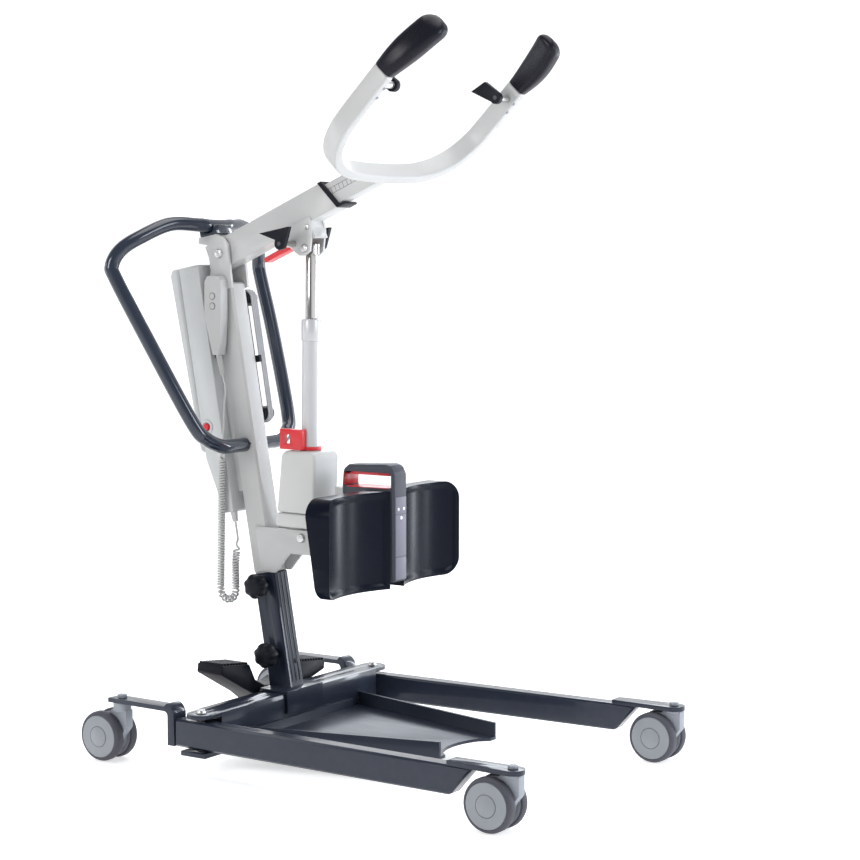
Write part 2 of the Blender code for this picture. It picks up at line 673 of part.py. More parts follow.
# Mast.
def make_socket():
    """Lower column, open at the top for the mast's spigot, on a saddle over the beam."""
    wide = MAST_WIDTH / 2 + 0.001
    deep = MAST_DEPTH / 2 + 0.001
    socket = block("mast_socket", MAST, (-deep, -wide, -0.02), (deep, wide, MAST_FOOT_W - CLEAR),
                   NAVY_PAINT, 0.003)
    bore_u = MAST_DEPTH / 2 - MAST_WALL
    bore_y = MAST_WIDTH / 2 - MAST_WALL
    inside = block("socket_bore", MAST, (-bore_u, -bore_y, SPIGOT_START_W - CLEAR),
                   (bore_u, bore_y, MAST_FOOT_W + 0.02))
    below = block("below_saddle", None, (X_MAST - 0.1, -0.1, BEAM_TOP - 0.06),
                  (X_MAST + 0.1, 0.1, BEAM_TOP + 3 * CLEAR))
    cut(socket, inside, below)
    front = X_PIVOT + BEAM_FRONT + CLEAR
    seat = BEAM_TOP + CLEAR
    top = BEAM_TOP + SADDLE_T
    back = X_PIVOT - BEAM_BACK - 0.003
    bent = [(back, seat), (front, seat), (front, top - SADDLE_LIP), (front + SADDLE_T, top - SADDLE_LIP),
            (front + SADDLE_T, top), (back, top)]
    saddle = plate("saddle", None, bent, "XZ", -SADDLE_HALF, SADDLE_HALF)
    weld(socket, saddle)
    for name, place in zip(("lower", "upper"), KNOB_WS):
        cut(socket, cylinder("knob_hole_" + name, MAST, (0, -wide - 0.01, place), (0, 1, 0), 0.02, 0.0126))


def make_mast():
    """Mast tube with its spigot, head plates, actuator bracket and knee support rail."""
    half_u = MAST_DEPTH / 2
    half_y = MAST_WIDTH / 2
    mast = block("mast_column", MAST, (-half_u, -half_y, MAST_FOOT_W), (half_u, half_y, MAST_TOP_W),
                 GREY_PAINT, 0.004)
    spigot_u = half_u - MAST_WALL - CLEAR
    spigot_y = half_y - MAST_WALL - CLEAR
    tools = [block("spigot", MAST, (-spigot_u, -spigot_y, SPIGOT_START_W),
                   (spigot_u, spigot_y, MAST_FOOT_W + 0.01))]
    head_low = MAST_TOP_W - HEAD_OVERLAP
    head = [(-half_u, head_low), (half_u + 0.004, head_low), (half_u + 0.009, BOOM_PIVOT_W + 0.016),
            (half_u + 0.001, BOOM_PIVOT_W + 0.029), (0.008, HEAD_TOP_W), (-0.037, HEAD_TOP_W),
            (-0.039, HEAD_TOP_W - 0.012), (-0.018, HEAD_TOP_W - 0.018), (-0.018, BOOM_PIVOT_W - 0.030),
            (-half_u, MAST_TOP_W + 0.008)]
    bracket = make_bracket_outline()
    for side, sign in SIDES:
        faces = sorted((sign * (half_y - 0.0005), sign * (half_y + HEAD_PLATE_T)))
        tools.append(plate("head_plate_" + side, MAST, head, "XZ", faces[0], faces[1]))
        faces = sorted((sign * (half_y - 0.0005), sign * (half_y + BRACKET_T)))
        tools.append(plate("bracket_" + side, None, bracket, "XZ", faces[0], faces[1]))
    rail_front = KNEE_REAR - CLEAR
    rail_back = rail_front - KNEE_RAIL
    tools.append(block("rail_carrier", None,
                       (rail_back - 0.004, 0.0005 - half_y - BRACKET_T, BRACKET_BOTTOM + 0.0005),
                       (rail_front - 0.004, half_y + BRACKET_T - 0.0005, BRACKET_TOP - 0.0005)))
    tools.append(block("knee_rail", None, (rail_back, -KNEE_RAIL / 2, BRACKET_BOTTOM + 0.002),
                       (rail_front, KNEE_RAIL / 2, RAIL_TOP)))
    weld(mast, *tools)
    hollow_u = spigot_u - MAST_WALL
    hollow_y = spigot_y - MAST_WALL
    cut(mast,
        block("mast_hollow", MAST, (-hollow_u, -hollow_y, 0), (hollow_u, hollow_y, MAST_TOP_W - 0.006)))
    across = 2 * (half_y + HEAD_PLATE_T) + 0.02
    cut(mast,
        cylinder("boom_pin_hole", BOOM, (0, -across / 2, 0), (0, 1, 0), across, PIVOT_PIN_D + 2 * CLEAR),
        cylinder("foot_pin_hole", ACTUATOR, (0, -across / 2, 0), (0, 1, 0), across, FOOT_PIN_D + 2 * CLEAR))


def make_bracket_outline():
    """Side view of the actuator bracket: a bar from the mast to the knee rail with a gusset below."""
    at_top = mast_point(0, 0, (BRACKET_TOP - BEAM_TOP) / math.cos(MAST_LEAN)).x
    gusset = mast_point(0, 0, (BRACKET_BOTTOM - 0.042 - BEAM_TOP) / math.cos(MAST_LEAN)).x
    reach = KNEE_REAR - 0.003
    return [(at_top, BRACKET_TOP), (reach, BRACKET_TOP), (reach, BRACKET_BOTTOM),
            (FOOT_PLACE.x - 0.032, BRACKET_BOTTOM),
            (gusset + 0.035, BRACKET_BOTTOM - 0.042), (gusset, BRACKET_BOTTOM - 0.042)]


def make_bolt(name, frame, half, diameter, head, finish=ZINC):
    """Cross bolt along Y with a head at each end."""
    bolt = cylinder(name, frame, (0, -half - 0.002, 0), (0, 1, 0), 2 * half + 0.004, diameter, finish,
                    sides=16)
    ends = [cylinder("head_" + side, frame, (0, sign * (half + CLEAR), 0), (0, sign, 0), 0.005, head,
                     sides=12,
                     end_diameter=head - 0.004) for side, sign in SIDES]
    weld(bolt, *ends)


def make_knob(name, place):
    """Star knob that clamps the mast in its socket."""
    face = -MAST_WIDTH / 2 - 0.001
    frame = frame_at("knob_frame_" + name, MAST, (0, face, place))
    knob = cylinder("knob_" + name, frame, (0, -KNOB_NECK, 0), (0, -1, 0), KNOB_T, KNOB_D, BLACK_PLASTIC,
                    24,
                    KNOB_D - 0.012)
    flutes = []
    for index in range(6):
        angle = math.radians(60 * index)
        where = (math.cos(angle) * (KNOB_D / 2 + 0.005), -0.004, math.sin(angle) * (KNOB_D / 2 + 0.005))
        flutes.append(cylinder("flute_%d" % index, frame, where, (0, -1, 0), 0.06, 0.016, sides=10))
    cut(knob, *flutes)
    weld(knob, cylinder("neck", frame, (0, -CLEAR, 0), (0, -1, 0), KNOB_NECK + 0.002, 0.020),
         cylinder("screw", frame, (0, 0.0026, 0), (0, -1, 0), 0.010, 0.012))


def make_push_handle():
    """Bent tube from the sides of the mast, out and back, up to the clamp on the mast head."""
    face = MAST_WIDTH / 2 + CLEAR
    low = mast_point(0, 0, HANDLE_FOOT_W)
    top = mast_point(HANDLE_TOP_U, 0, HANDLE_TOP_W)
    rise = top.z - low.z
    bends = [(0, 0.23, 0), (0.006, 0.40, 0.004), (0.06, 0.56, 0.040), (0.167, 0.67, 0.123),
             (0.625, 0.87, 0.497),
             (0.952, 0.987, 0.757), (1.0, 1.0, 0.818), (0.935, 0.94, 0.887), (0.82, 0.79, 0.943),
             (0.68, 0.51, 1.004), (0.574, 0.23, 1.004)]
    half = [(low.x, face, low.z)]
    half += [(low.x - HANDLE_BACK * back, HANDLE_HALF * out, low.z + rise * up) for back, out, up in bends]
    half += [(top.x, HANDLE_HALF * 0.085, top.z)]
    right = [(x, -y, z) for x, y, z in half]
    tube("push_handle", None, smooth_path(right + list(reversed(half)), 2), HANDLE_TUBE_D, HANDLE_PAINT, 2)


def make_handle_clamp():
    """Saddle on the mast head that holds the top of the push handle."""
    wide = MAST_WIDTH / 2 + HEAD_PLATE_T
    clamp = block("handle_clamp", MAST, (-0.034, -wide, HEAD_TOP_W + CLEAR), (0.008, wide, HANDLE_TOP_W),
                  HANDLE_PAINT, 0.002)
    top = mast_point(HANDLE_TOP_U, 0, HANDLE_TOP_W)
    cut(clamp, cylinder("handle_groove", None, (top.x, -0.05, top.z), (0, 1, 0), 0.10,
                        HANDLE_TUBE_D + 0.0036, sides=24))


# Boom.
def boom_end(height):
    """How far the boom reaches at a height: its end is cut at the slant of the arm's back face."""
    return BOOM_REACH - height * math.tan(ARM_RISE - BOOM_RISE)


def make_boom():
    """Boom tube with the clevis plates that take the actuator's rod."""
    half_h = BOOM_H / 2
    half_w = BOOM_W / 2
    outline = [(-BOOM_TAIL, -half_h), (boom_end(-half_h), -half_h), (boom_end(half_h), half_h),
               (-BOOM_TAIL, half_h)]
    boom = plate("boom_tube", BOOM, outline, "XZ", -half_w, half_w, GREY_PAINT)
    drop = -CLEVIS_DROP
    cheek = [(CLEVIS_X - 0.032, -half_h + 0.008), (CLEVIS_X - 0.032, drop + 0.013),
             (CLEVIS_X - 0.017, drop - 0.008),
             (CLEVIS_X - 0.005, drop - 0.0135), (CLEVIS_X + 0.010, drop - 0.010),
             (CLEVIS_X + 0.030, drop + 0.025),
             (CLEVIS_X + 0.036, -half_h + 0.008)]
    tools = []
    for side, sign in SIDES:
        faces = sorted((sign * (half_w - 0.0005), sign * (half_w + CLEVIS_T)))
        tools.append(plate("cheek_" + side, BOOM, cheek, "XZ", faces[0], faces[1]))
    tools.append(block("clevis_web", BOOM, (CLEVIS_X + 0.025, -half_w - 0.001, -half_h - 0.034),
                       (CLEVIS_X + 0.031, half_w + 0.001, -half_h + 0.001)))
    inner_h = half_h - BOOM_WALL
    inner_w = half_w - BOOM_WALL
    cut(boom, block("boom_hollow", BOOM, (-BOOM_TAIL - 0.01, -inner_w, -inner_h),
                    (BOOM_REACH + 0.03, inner_w, inner_h)))
    weld(boom, *tools)
    across = 2 * (half_w + CLEVIS_T) + 0.02
    cut(boom,
        cylinder("boom_bore", BOOM, (0, -across / 2, 0), (0, 1, 0), across, PIVOT_PIN_D + 2 * CLEAR),
        cylinder("clevis_bore", BOOM, (CLEVIS_X, -across / 2, drop), (0, 1, 0), across,
                 CLEVIS_PIN_D + 2 * CLEAR))


def make_collar():
    """Dark guide on the boom's slanted end that the telescopic tube slides in, with a shelf below."""
    half_h = BOOM_H / 2 + COLLAR_LIP
    half_w = BOOM_W / 2 + COLLAR_LIP
    low = boom_end(-half_h) + CLEAR
    high = boom_end(half_h) + CLEAR
    shelf = -half_h + 0.005
    outline = [(low, -half_h), (low + COLLAR_SHELF, -half_h), (low + COLLAR_SHELF, shelf),
               (boom_end(shelf) + COLLAR_LENGTH, shelf), (high + COLLAR_LENGTH, half_h), (high, half_h)]
    collar = plate("boom_collar", BOOM, outline, "XZ", -half_w, half_w, BLACK_PLASTIC)
    gap_h = INNER_H / 2 + CLEAR
    gap_w = INNER_W / 2 + CLEAR
    cut(collar,
        block("collar_hole", BOOM, (BOOM_REACH - 0.05, -gap_w, -gap_h), (BOOM_REACH + 0.05, gap_w, gap_h)))


def make_inner_tube():
    """Telescopic tube, cut at the slant of the arm's back face."""
    half_h = INNER_H / 2
    half_w = INNER_W / 2
    slope = math.tan(ARM_RISE - BOOM_RISE)
    ends = [ARM_X - (z - ARM_Z) * slope - 2 * CLEAR for z in (half_h, -half_h)]
    outline = [(INNER_START, -half_h), (ends[1], -half_h), (ends[0], half_h), (INNER_START, half_h)]
    inner = plate("inner_tube", BOOM, outline, "XZ", -half_w, half_w, GREY_PAINT)
    cut(inner, block("inner_hollow", BOOM, (INNER_START - 0.01, -half_w + INNER_WALL, -half_h + INNER_WALL),
                     (BOOM_REACH + COLLAR_LENGTH + 0.02, half_w - INNER_WALL, half_h - INNER_WALL)))


def make_release_lever():
    """Red lever under the boom that frees the telescopic tube."""
    pivot = (CLEVIS_X - 0.031, 0, -0.042)
    frame = frame_at("lever_frame", BOOM, pivot)
    side = [(0.006, 0.007), (0.006, -0.007), (-0.006, -0.017), (-0.082, -0.016), (-0.082, -0.006),
            (-0.014, -0.005),
            (-0.006, 0.007)]
    half = BOOM_W / 2 - 0.008
    lever = plate("release_lever", frame, side, "XZ", -half, half, RED_PLASTIC, 0.002)
    reach = BOOM_W / 2 - 0.0005 - CLEAR
    weld(lever, cylinder("lever_pin", frame, (0, -reach, 0), (0, 1, 0), 2 * reach, 0.008, sides=12))


def hook_outline(centre, tips):
    """Side view of a strap hook: a round end at its post and two pointed wings."""
    start = math.degrees(math.atan2(tips[1][1] - centre[1], tips[1][0] - centre[0])) - 90
    return arc(centre, HOOK_R, start, start - 180, 6) + list(tips)


def make_boom_hook(side, sign):
    """Winged strap hook beside the boom, on a post on the clevis cheek."""
    face = BOOM_W / 2 + CLEVIS_T + CLEAR
    centre = (CLEVIS_X - 0.021, -0.056)
    tips = [(CLEVIS_X - 0.060, -0.017), (CLEVIS_X + 0.014, -0.034)]
    faces = sorted((sign * (face + HOOK_STAND), sign * (face + HOOK_STAND + HOOK_T)))
    hook = plate("boom_hook_" + side, BOOM, hook_outline(centre, tips), "XZ", faces[0], faces[1],
                 BLACK_PLASTIC)
    weld(hook,
         cylinder("hook_post", BOOM, (centre[0], sign * face, centre[1]), (0, sign, 0), HOOK_STAND + 0.004,
                        HOOK_POST_D))


def arm_centre_line():
    """Centre line of the U in its own plane: along the arm, then across."""
    half = [(0.010, 0.0), (0.0115, 0.060), (0.017, 0.120), (0.033, 0.168), (0.062, 0.205), (0.100, 0.2255),
            (0.145, ARM_HALF), (ARM_LENGTH, ARM_HALF)]
    path = smooth_path([(s, y, 0) for s, y in half], 2)
    return [(-y, s) for s, y, _ in reversed(path[1:])] + [(y, s) for s, y, _ in path]


def make_arm():
    """Flat-sided tube bent to a U, standing on edge."""
    line = [Vector((s, y)) for y, s in arm_centre_line()]
    left = []
    right = []
    for index, point in enumerate(line):
        ahead = line[min(index + 1, len(line) - 1)]
        behind = line[max(index - 1, 0)]
        along = (ahead - behind).normalized()
        normal = Vector((-along.y, along.x)) * ARM_T / 2
        left.append(tuple(point + normal))
        right.append(tuple(point - normal))
    plate("u_arm", ARM, left + right[::-1], "XY", 0, ARM_H, GREY_PAINT)


def make_grip(side, sign):
    """Moulded hand grip on the end of the arm, flatter across, turning in at its tip."""
    frame = frame_at("grip_frame_" + side, ARM, (ARM_LENGTH + CLEAR, sign * ARM_HALF, ARM_H / 2))
    steps = 10
    points = []
    radii = []
    for step in range(steps + 1):
        t = step / steps
        points.append((GRIP_LENGTH * t, 0, 0))
        swell = 0.72 + 0.28 * math.sin(math.pi / 2 * min(1.0, t / 0.6))
        radii.append(swell if t < 0.85 else swell * (0.93 if t < 0.97 else 0.60))
    grip = tube("grip_" + side, frame, points, 2 * GRIP_R, BLACK_PLASTIC, 4, radii)
    for vertex in grip.data.vertices:
        t = vertex.co.x / GRIP_LENGTH
        vertex.co.y = vertex.co.y * GRIP_SLIM - sign * GRIP_TURN_IN * t * t
        vertex.co.z -= GRIP_DROP * t * (2 - t)


def make_sling_hook(side, sign):
    """Winged strap hook inside the arm below the grip, on a post."""
    face = ARM_HALF - ARM_T / 2 - CLEAR
    centre = (ARM_LENGTH - HOOK_DOWN, HOOK_Z)
    tips = [(centre[0] - 0.030, HOOK_Z + 0.050), (centre[0] + 0.006, HOOK_Z + 0.040)]
    faces = sorted((sign * (face - HOOK_STAND), sign * (face - HOOK_STAND - HOOK_T)))
    hook = plate("sling_hook_" + side, ARM, hook_outline(centre, tips), "XZ", faces[0], faces[1],
                 BLACK_PLASTIC)
    weld(hook,
         cylinder("hook_post", ARM, (centre[0], sign * face, centre[1]), (0, -sign, 0), HOOK_STAND + 0.004,
                        HOOK_POST_D))


# Actuator.
def make_actuator():
    """Motor housing with its foot lug, the guide tube, the chromed rod and the red hand release."""
    half = HOUSING_W / 2
    slope = HOUSING_CHAMFER
    side = [(-HOUSING_BACK - HOUSING_HEEL, HOUSING_BOTTOM), (HOUSING_FRONT - 0.003, HOUSING_BOTTOM),
            (HOUSING_FRONT, HOUSING_TOP - slope), (HOUSING_FRONT - slope, HOUSING_TOP),
            (slope - HOUSING_BACK, HOUSING_TOP), (-HOUSING_BACK, HOUSING_TOP - slope)]
    housing = plate("actuator_housing", ACTUATOR, side, "XZ", -half, half, WHITE_PLASTIC, 0.006)
    weld(housing, block("foot_lug", ACTUATOR, (-0.018, -LUG_T / 2, -0.016),
                        (0.018, LUG_T / 2, HOUSING_BOTTOM + 0.01)))
    cut(housing, cylinder("lug_bore", ACTUATOR, (0, -0.03, 0), (0, 1, 0), 0.06, FOOT_PIN_D + 2 * CLEAR))
    bore = ROD_D / 2 + CLEAR
    outer = TUBE_D / 2
    step = TUBE_TOP - TUBE_COLLAR_H
    profile = [(bore, HOUSING_TOP + CLEAR), (outer, HOUSING_TOP + CLEAR), (outer, step),
               (TUBE_COLLAR_D / 2, step + 0.002),
               (TUBE_COLLAR_D / 2, TUBE_TOP - 0.002), (TUBE_COLLAR_D / 2 - 0.002, TUBE_TOP),
               (bore, TUBE_TOP)]
    turned("actuator_tube", ACTUATOR, profile, (0, 0, 0), (0, 0, 1), WHITE_PLASTIC)
    rod = cylinder("actuator_rod", ACTUATOR, (0, 0, ROD_START), (0, 0, 1), ROD_REACH - 0.010 - ROD_START,
                   ROD_D, CHROME, 24)
    slot_r = CLEVIS_PIN_D / 2 + 0.0016
    back = -ROD_SLOT_BACK
    front = ROD_SLOT_FRONT
    head = block("rod_head", ACTUATOR, (back - 0.005, -ROD_HEAD_T / 2, ROD_REACH - 0.014),
                 (front + 0.005, ROD_HEAD_T / 2, ROD_REACH + 0.012), bevel=0.003)
    weld(rod, head)
    cut(rod,
        block("head_slot", ACTUATOR, (back, -0.03, ROD_REACH - slot_r), (front, 0.03, ROD_REACH + slot_r)))
    ring = HOUSING_TOP + CLEAR + 0.001
    inner = outer + CLEAR
    profile = [(inner, ring), (RELEASE_RING_D / 2, ring), (RELEASE_RING_D / 2, ring + RELEASE_RING_H),
               (inner, ring + RELEASE_RING_H)]
    release = turned("emergency_release", ACTUATOR, profile, (0, 0, 0), (0, 0, 1), RED_PLASTIC, 20)
    handle = block("release_grip", ACTUATOR, (-0.052, -0.034, ring + 0.001),
                   (0.002, -0.0195, ring + RELEASE_H))
    weld(release, handle)
    cut(release, block("release_slot", ACTUATOR, (-0.044, -0.05, ring + 0.012),
                       (-0.027, 0, ring + RELEASE_H - 0.011)))


# Knee support.
def make_knee_spine():
    """Upright that slides on the mast's rail, with a carrying handle on top."""
    half = KNEE_W / 2
    side = [(KNEE_FRONT, KNEE_BOTTOM), (KNEE_FRONT, KNEE_TOP - 0.020),
            (KNEE_FRONT - 0.008, KNEE_TOP - 0.004),
            (KNEE_FRONT - 0.022, KNEE_TOP), (KNEE_REAR + 0.016, KNEE_TOP - 0.004),
            (KNEE_REAR + 0.003, KNEE_TOP - 0.014),
            (KNEE_REAR, KNEE_HOLE_BOTTOM), (KNEE_REAR, BRACKET_TOP + CLEAR),
            (KNEE_REAR + 0.052, KNEE_BOTTOM)]
    spine = plate("knee_spine", None, side, "XZ", -half, half, KNEE_PLASTIC, 0.004)
    margin = KNEE_HOLE_MARGIN
    hole = block("handle_hole", None, (KNEE_REAR + margin, -0.05, KNEE_HOLE_BOTTOM),
                 (KNEE_FRONT - margin, 0.05, KNEE_HOLE_TOP), bevel=0.004)
    grip = make_trigger_box("trigger_pocket", CLEAR, KNEE_TRIGGER_TRAVEL + CLEAR)
    cut(spine, hole, grip)
    ears = []
    for side_name, sign in SIDES:
        faces = sorted((sign * (KNEE_RAIL / 2 + CLEAR), sign * half))
        ears.append(block("rail_ear_" + side_name, None,
                          (KNEE_REAR - KNEE_RAIL, faces[0], BRACKET_TOP + CLEAR),
                          (KNEE_REAR + 0.002, faces[1], BRACKET_TOP + 0.050)))
    weld(spine, *ears)


def make_trigger_box(name, gap, travel, finish=None):
    """The trigger bar under the carrying handle, or the pocket that it moves in."""
    margin = KNEE_HOLE_MARGIN + 0.010
    return block(name, None, (KNEE_REAR + margin - gap, -0.0137 - gap, KNEE_HOLE_TOP - 0.0065),
                 (KNEE_FRONT - margin + gap, 0.0137 + gap, KNEE_HOLE_TOP + 0.003 + travel), finish)


def make_knee_pad(side, sign):
    """Moulded pad: hollow front, full rim, rounded outer corners, thinner at the foot."""
    inner = KNEE_W / 2 + CLEAR
    corner = 0.034
    rim = KNEE_FRONT - 0.008
    work = bmesh.new()
    bmesh.ops.create_grid(work, x_segments=PAD_COLUMNS, y_segments=PAD_ROWS, size=0.5)
    raised = bmesh.ops.extrude_face_region(work, geom=work.faces[:])["geom"]
    front = {vertex for vertex in raised if isinstance(vertex, bmesh.types.BMVert)}
    for vertex in work.verts:
        across = 1.0 - (0.5 - vertex.co.x) ** 1.5
        up = vertex.co.y + 0.5
        y = inner + (PAD_OUTER - inner) * across
        over = max(0.0, y - PAD_OUTER + corner)
        drop = corner - math.sqrt(max(0.0, corner**2 - over**2))
        z = PAD_BOTTOM + drop + (PAD_TOP - PAD_BOTTOM - 2 * drop) * up
        if vertex in front:
            x = rim - PAD_HOLLOW * math.sin(math.pi * across) ** 0.8
        else:
            x = rim - PAD_T + PAD_TAPER * (1.0 - up)
        vertex.co = (x, sign * y, z)
    bmesh.ops.recalc_face_normals(work, faces=work.faces)
    mesh = bpy.data.meshes.new("knee_pad_" + side)
    work.to_mesh(mesh)
    work.free()
    tidy_mesh(mesh)
    pad = as_object("knee_pad_" + side, mesh, None, PAD_FOAM)
    round_edges(pad, 0.005)


# Control box, hand control and cords.
def make_control_box():
    """Control box on the back of the mast, the battery behind it and the red stop button."""
    front = -MAST_DEPTH / 2 - BOX_GAP
    back = front - BOX_DEPTH
    side = [(front, BOX_BOTTOM_W), (front - 0.027, BOX_BOTTOM_W), (back, BATTERY_BOTTOM_W - 0.012),
            (back, BOX_TOP_W),
            (front, BOX_TOP_W)]
    box = plate("control_box", MAST, side, "XZ", -BOX_HALF, BOX_HALF, BOX_PLASTIC, 0.004)
    weld(box, block("box_mount", MAST, (front - 0.001, -0.018, BOX_BOTTOM_W + 0.04),
                    (-MAST_DEPTH / 2 - CLEAR, 0.018, BOX_TOP_W - 0.07)),
         cylinder("cord_gland", MAST, (GLAND_U, GLAND_Y, BOX_BOTTOM_W + 0.004), (0, 0, -1),
                  GLAND_LENGTH + 0.004,
                  0.016, sides=14, end_diameter=0.011))
    near = -BOX_HALF
    cut(box, cylinder("stop_pocket", MAST, (STOP_U, near + 0.0085, STOP_W), (0, -1, 0), 0.02,
                      STOP_D + 2 * CLEAR))
    frame = frame_at("stop_frame", MAST, (STOP_U, near, STOP_W))
    cylinder("emergency_stop", frame, (0, 0.0085 - STOP_TRAVEL - CLEAR, 0), (0, -1, 0), 0.0105, STOP_D,
             RED_PLASTIC, 20,
             STOP_D - 0.002)
    shell = [(back - CLEAR, BATTERY_BOTTOM_W), (back - BATTERY_DEPTH * 0.45, BATTERY_BOTTOM_W + 0.008),
             (back - BATTERY_DEPTH, BOX_TOP_W - 0.012), (back - BATTERY_DEPTH + 0.006, BOX_TOP_W),
             (back - CLEAR, BOX_TOP_W)]
    plate("battery_pack", MAST, shell, "XZ", -BOX_HALF, BOX_HALF, BOX_PLASTIC, 0.004)


def make_handset():
    """Hand control hung upright on the side of the mast head, with two keys and a strain relief."""
    face = -HANDSET_BACK - HANDSET_T
    half = HANDSET_W / 2
    low = -HANDSET_LENGTH
    outline = [(-half * 0.6, 0.0), (-half * 0.95, -0.010), (-half, low * 0.2), (-half, low * 0.5),
               (HANDSET_LEAN - half * 0.7, low * 0.84), (HANDSET_LEAN - 0.0072, low),
               (HANDSET_LEAN + 0.0072, low),
               (half * 0.82, low * 0.86), (half, low * 0.55), (half, -0.008), (half * 0.7, 0.0)]
    handset = plate("handset", HANDSET, outline, "XZ", face, -HANDSET_BACK, BOX_PLASTIC)
    weld(handset, cylinder("relief", HANDSET, RELIEF_START - RELIEF_ALONG * 0.006, RELIEF_ALONG,
                           RELIEF_LENGTH + 0.006,
                           0.0125, sides=14, end_diameter=0.008))
    for name, drop in zip(("up", "down"), BUTTON_DROPS):
        cut(handset, cylinder("key_pocket_" + name, HANDSET, (0, face + 0.004, -drop), (0, -1, 0), 0.01,
                              BUTTON_D + 2 * CLEAR))
        frame = frame_at("key_frame_" + name, HANDSET, (0, face, -drop))
        cylinder("handset_key_" + name, frame, (0, 0.004 - 0.0013, 0), (0, -1, 0), 0.0042, BUTTON_D,
                 BOX_PLASTIC)


def least_gap(points, diameter, apart):
    """Smallest clear gap between stretches of a tube that are not next to each other along it."""
    least = 1.0
    for index, point in enumerate(points):
        for other in points[index + apart:]:
            least = min(least, (point - other).length)
    return least - diameter


def make_handset_cord():
    """Straight lead from the hand control, then curls in a hanging loop up to the control box."""
    relief = HANDSET_PLACE + RELIEF_START + RELIEF_ALONG * (RELIEF_LENGTH + CLEAR)
    down = MAST_TURN @ Vector((0, 0, -1))
    gland = mast_point(GLAND_U, GLAND_Y, BOX_BOTTOM_W - GLAND_LENGTH - CLEAR)
    aside = -BOX_HALF - CORD_ASIDE
    start = Vector((relief.x + 0.0095, aside, relief.z - LEAD_LENGTH))
    lead = [relief, relief + RELIEF_ALONG * 0.006, relief + RELIEF_ALONG * 0.030,
            relief.lerp(start, 0.46) + Vector((0.004, 0, 0)),
            relief.lerp(start, 0.77) + Vector((0.003, 0, 0)), start]
    bend = LOOP_W / 2
    middle = Vector((gland.x - 0.002, aside, gland.z - CORD_DROP + bend))
    near = middle + Vector((-bend, 0, 0.018))
    hang = [start, start.lerp(near, 0.19), start.lerp(near, 0.52), start.lerp(near, 0.82), near]
    for angle in (180, 225, 270, 315, 360):
        turn = math.radians(angle)
        hang.append(middle + Vector((bend * math.cos(turn), 0, bend * math.sin(turn))))
    hang += [middle + Vector((bend, 0, 0.018)), middle + Vector((bend - 0.002, 0.003, 0.062)),
             gland.lerp(middle, 0.26) + Vector((bend - 0.010, 0.002, 0))]
    finish = [hang[-1], gland + down * 0.030, gland + down * 0.006, gland]
    axis = smooth_path(hang, 12)
    lengths = [0.0]
    for here, there in zip(axis, axis[1:]):
        lengths.append(lengths[-1] + (there - here).length)
    count = CURLS * CURL_POINTS
    curls = []
    span = 0
    radius = (CURL_D - CORD_D) / 2
    for step in range(1, count):
        place = lengths[-1] * step / count
        while lengths[span + 1] < place:
            span += 1
        share = (place - lengths[span]) / (lengths[span + 1] - lengths[span])
        centre = axis[span].lerp(axis[span + 1], share)
        along = (axis[span + 1] - axis[span]).normalized()
        aside = Vector((0, 1, 0)) - along * along.y
        aside.normalize()
        other = along.cross(aside)
        swell = radius * min(1.0, step / CURL_POINTS, (count - step) / CURL_POINTS)
        angle = 2 * math.pi * step / CURL_POINTS
        curls.append(centre + aside * swell * math.cos(angle) + other * swell * math.sin(angle))
    points = smooth_path(lead, 3)[:-1] + curls + smooth_path(finish, 3)[1:]
    print("handset cord least gap %.5f m" % least_gap(points, CORD_D, CURL_POINTS - 2))
    tube("handset_cord", None, points, CORD_D, CORD_PLASTIC, 1)


def winding_place(turn):
    """A point of the charging lead's winding round the two pegs, and how far round it is."""
    radius = PEG_D / 2 + CORD_D / 2 + 2 * CLEAR
    run = HANGER_WS[1] - HANGER_WS[0]
    loop = 2 * run + 2 * math.pi * radius
    place = (turn % 1.0) * loop
    if place < run / 2:
        flat = (radius, (HANGER_WS[0] + HANGER_WS[1]) / 2 + place)
    elif place < run / 2 + math.pi * radius:
        angle = (place - run / 2) / radius
        flat = (radius * math.cos(angle), HANGER_WS[1] + radius * math.sin(angle))
    elif place < run * 1.5 + math.pi * radius:
        flat = (-radius, HANGER_WS[1] - (place - run / 2 - math.pi * radius))
    elif place < run * 1.5 + 2 * math.pi * radius:
        angle = (place - run * 1.5 - math.pi * radius) / radius
        flat = (-radius * math.cos(angle), HANGER_WS[0] - radius * math.sin(angle))
    else:
        flat = (radius, HANGER_WS[0] + place - run * 1.5 - 2 * math.pi * radius)
    return Vector((HANGER_U + flat[0], winding_start() + WINDING_STEP * turn, flat[1]))


def winding_start():
    """How far from the mast's middle the first loop lies."""
    return MAST_WIDTH / 2 + 0.007


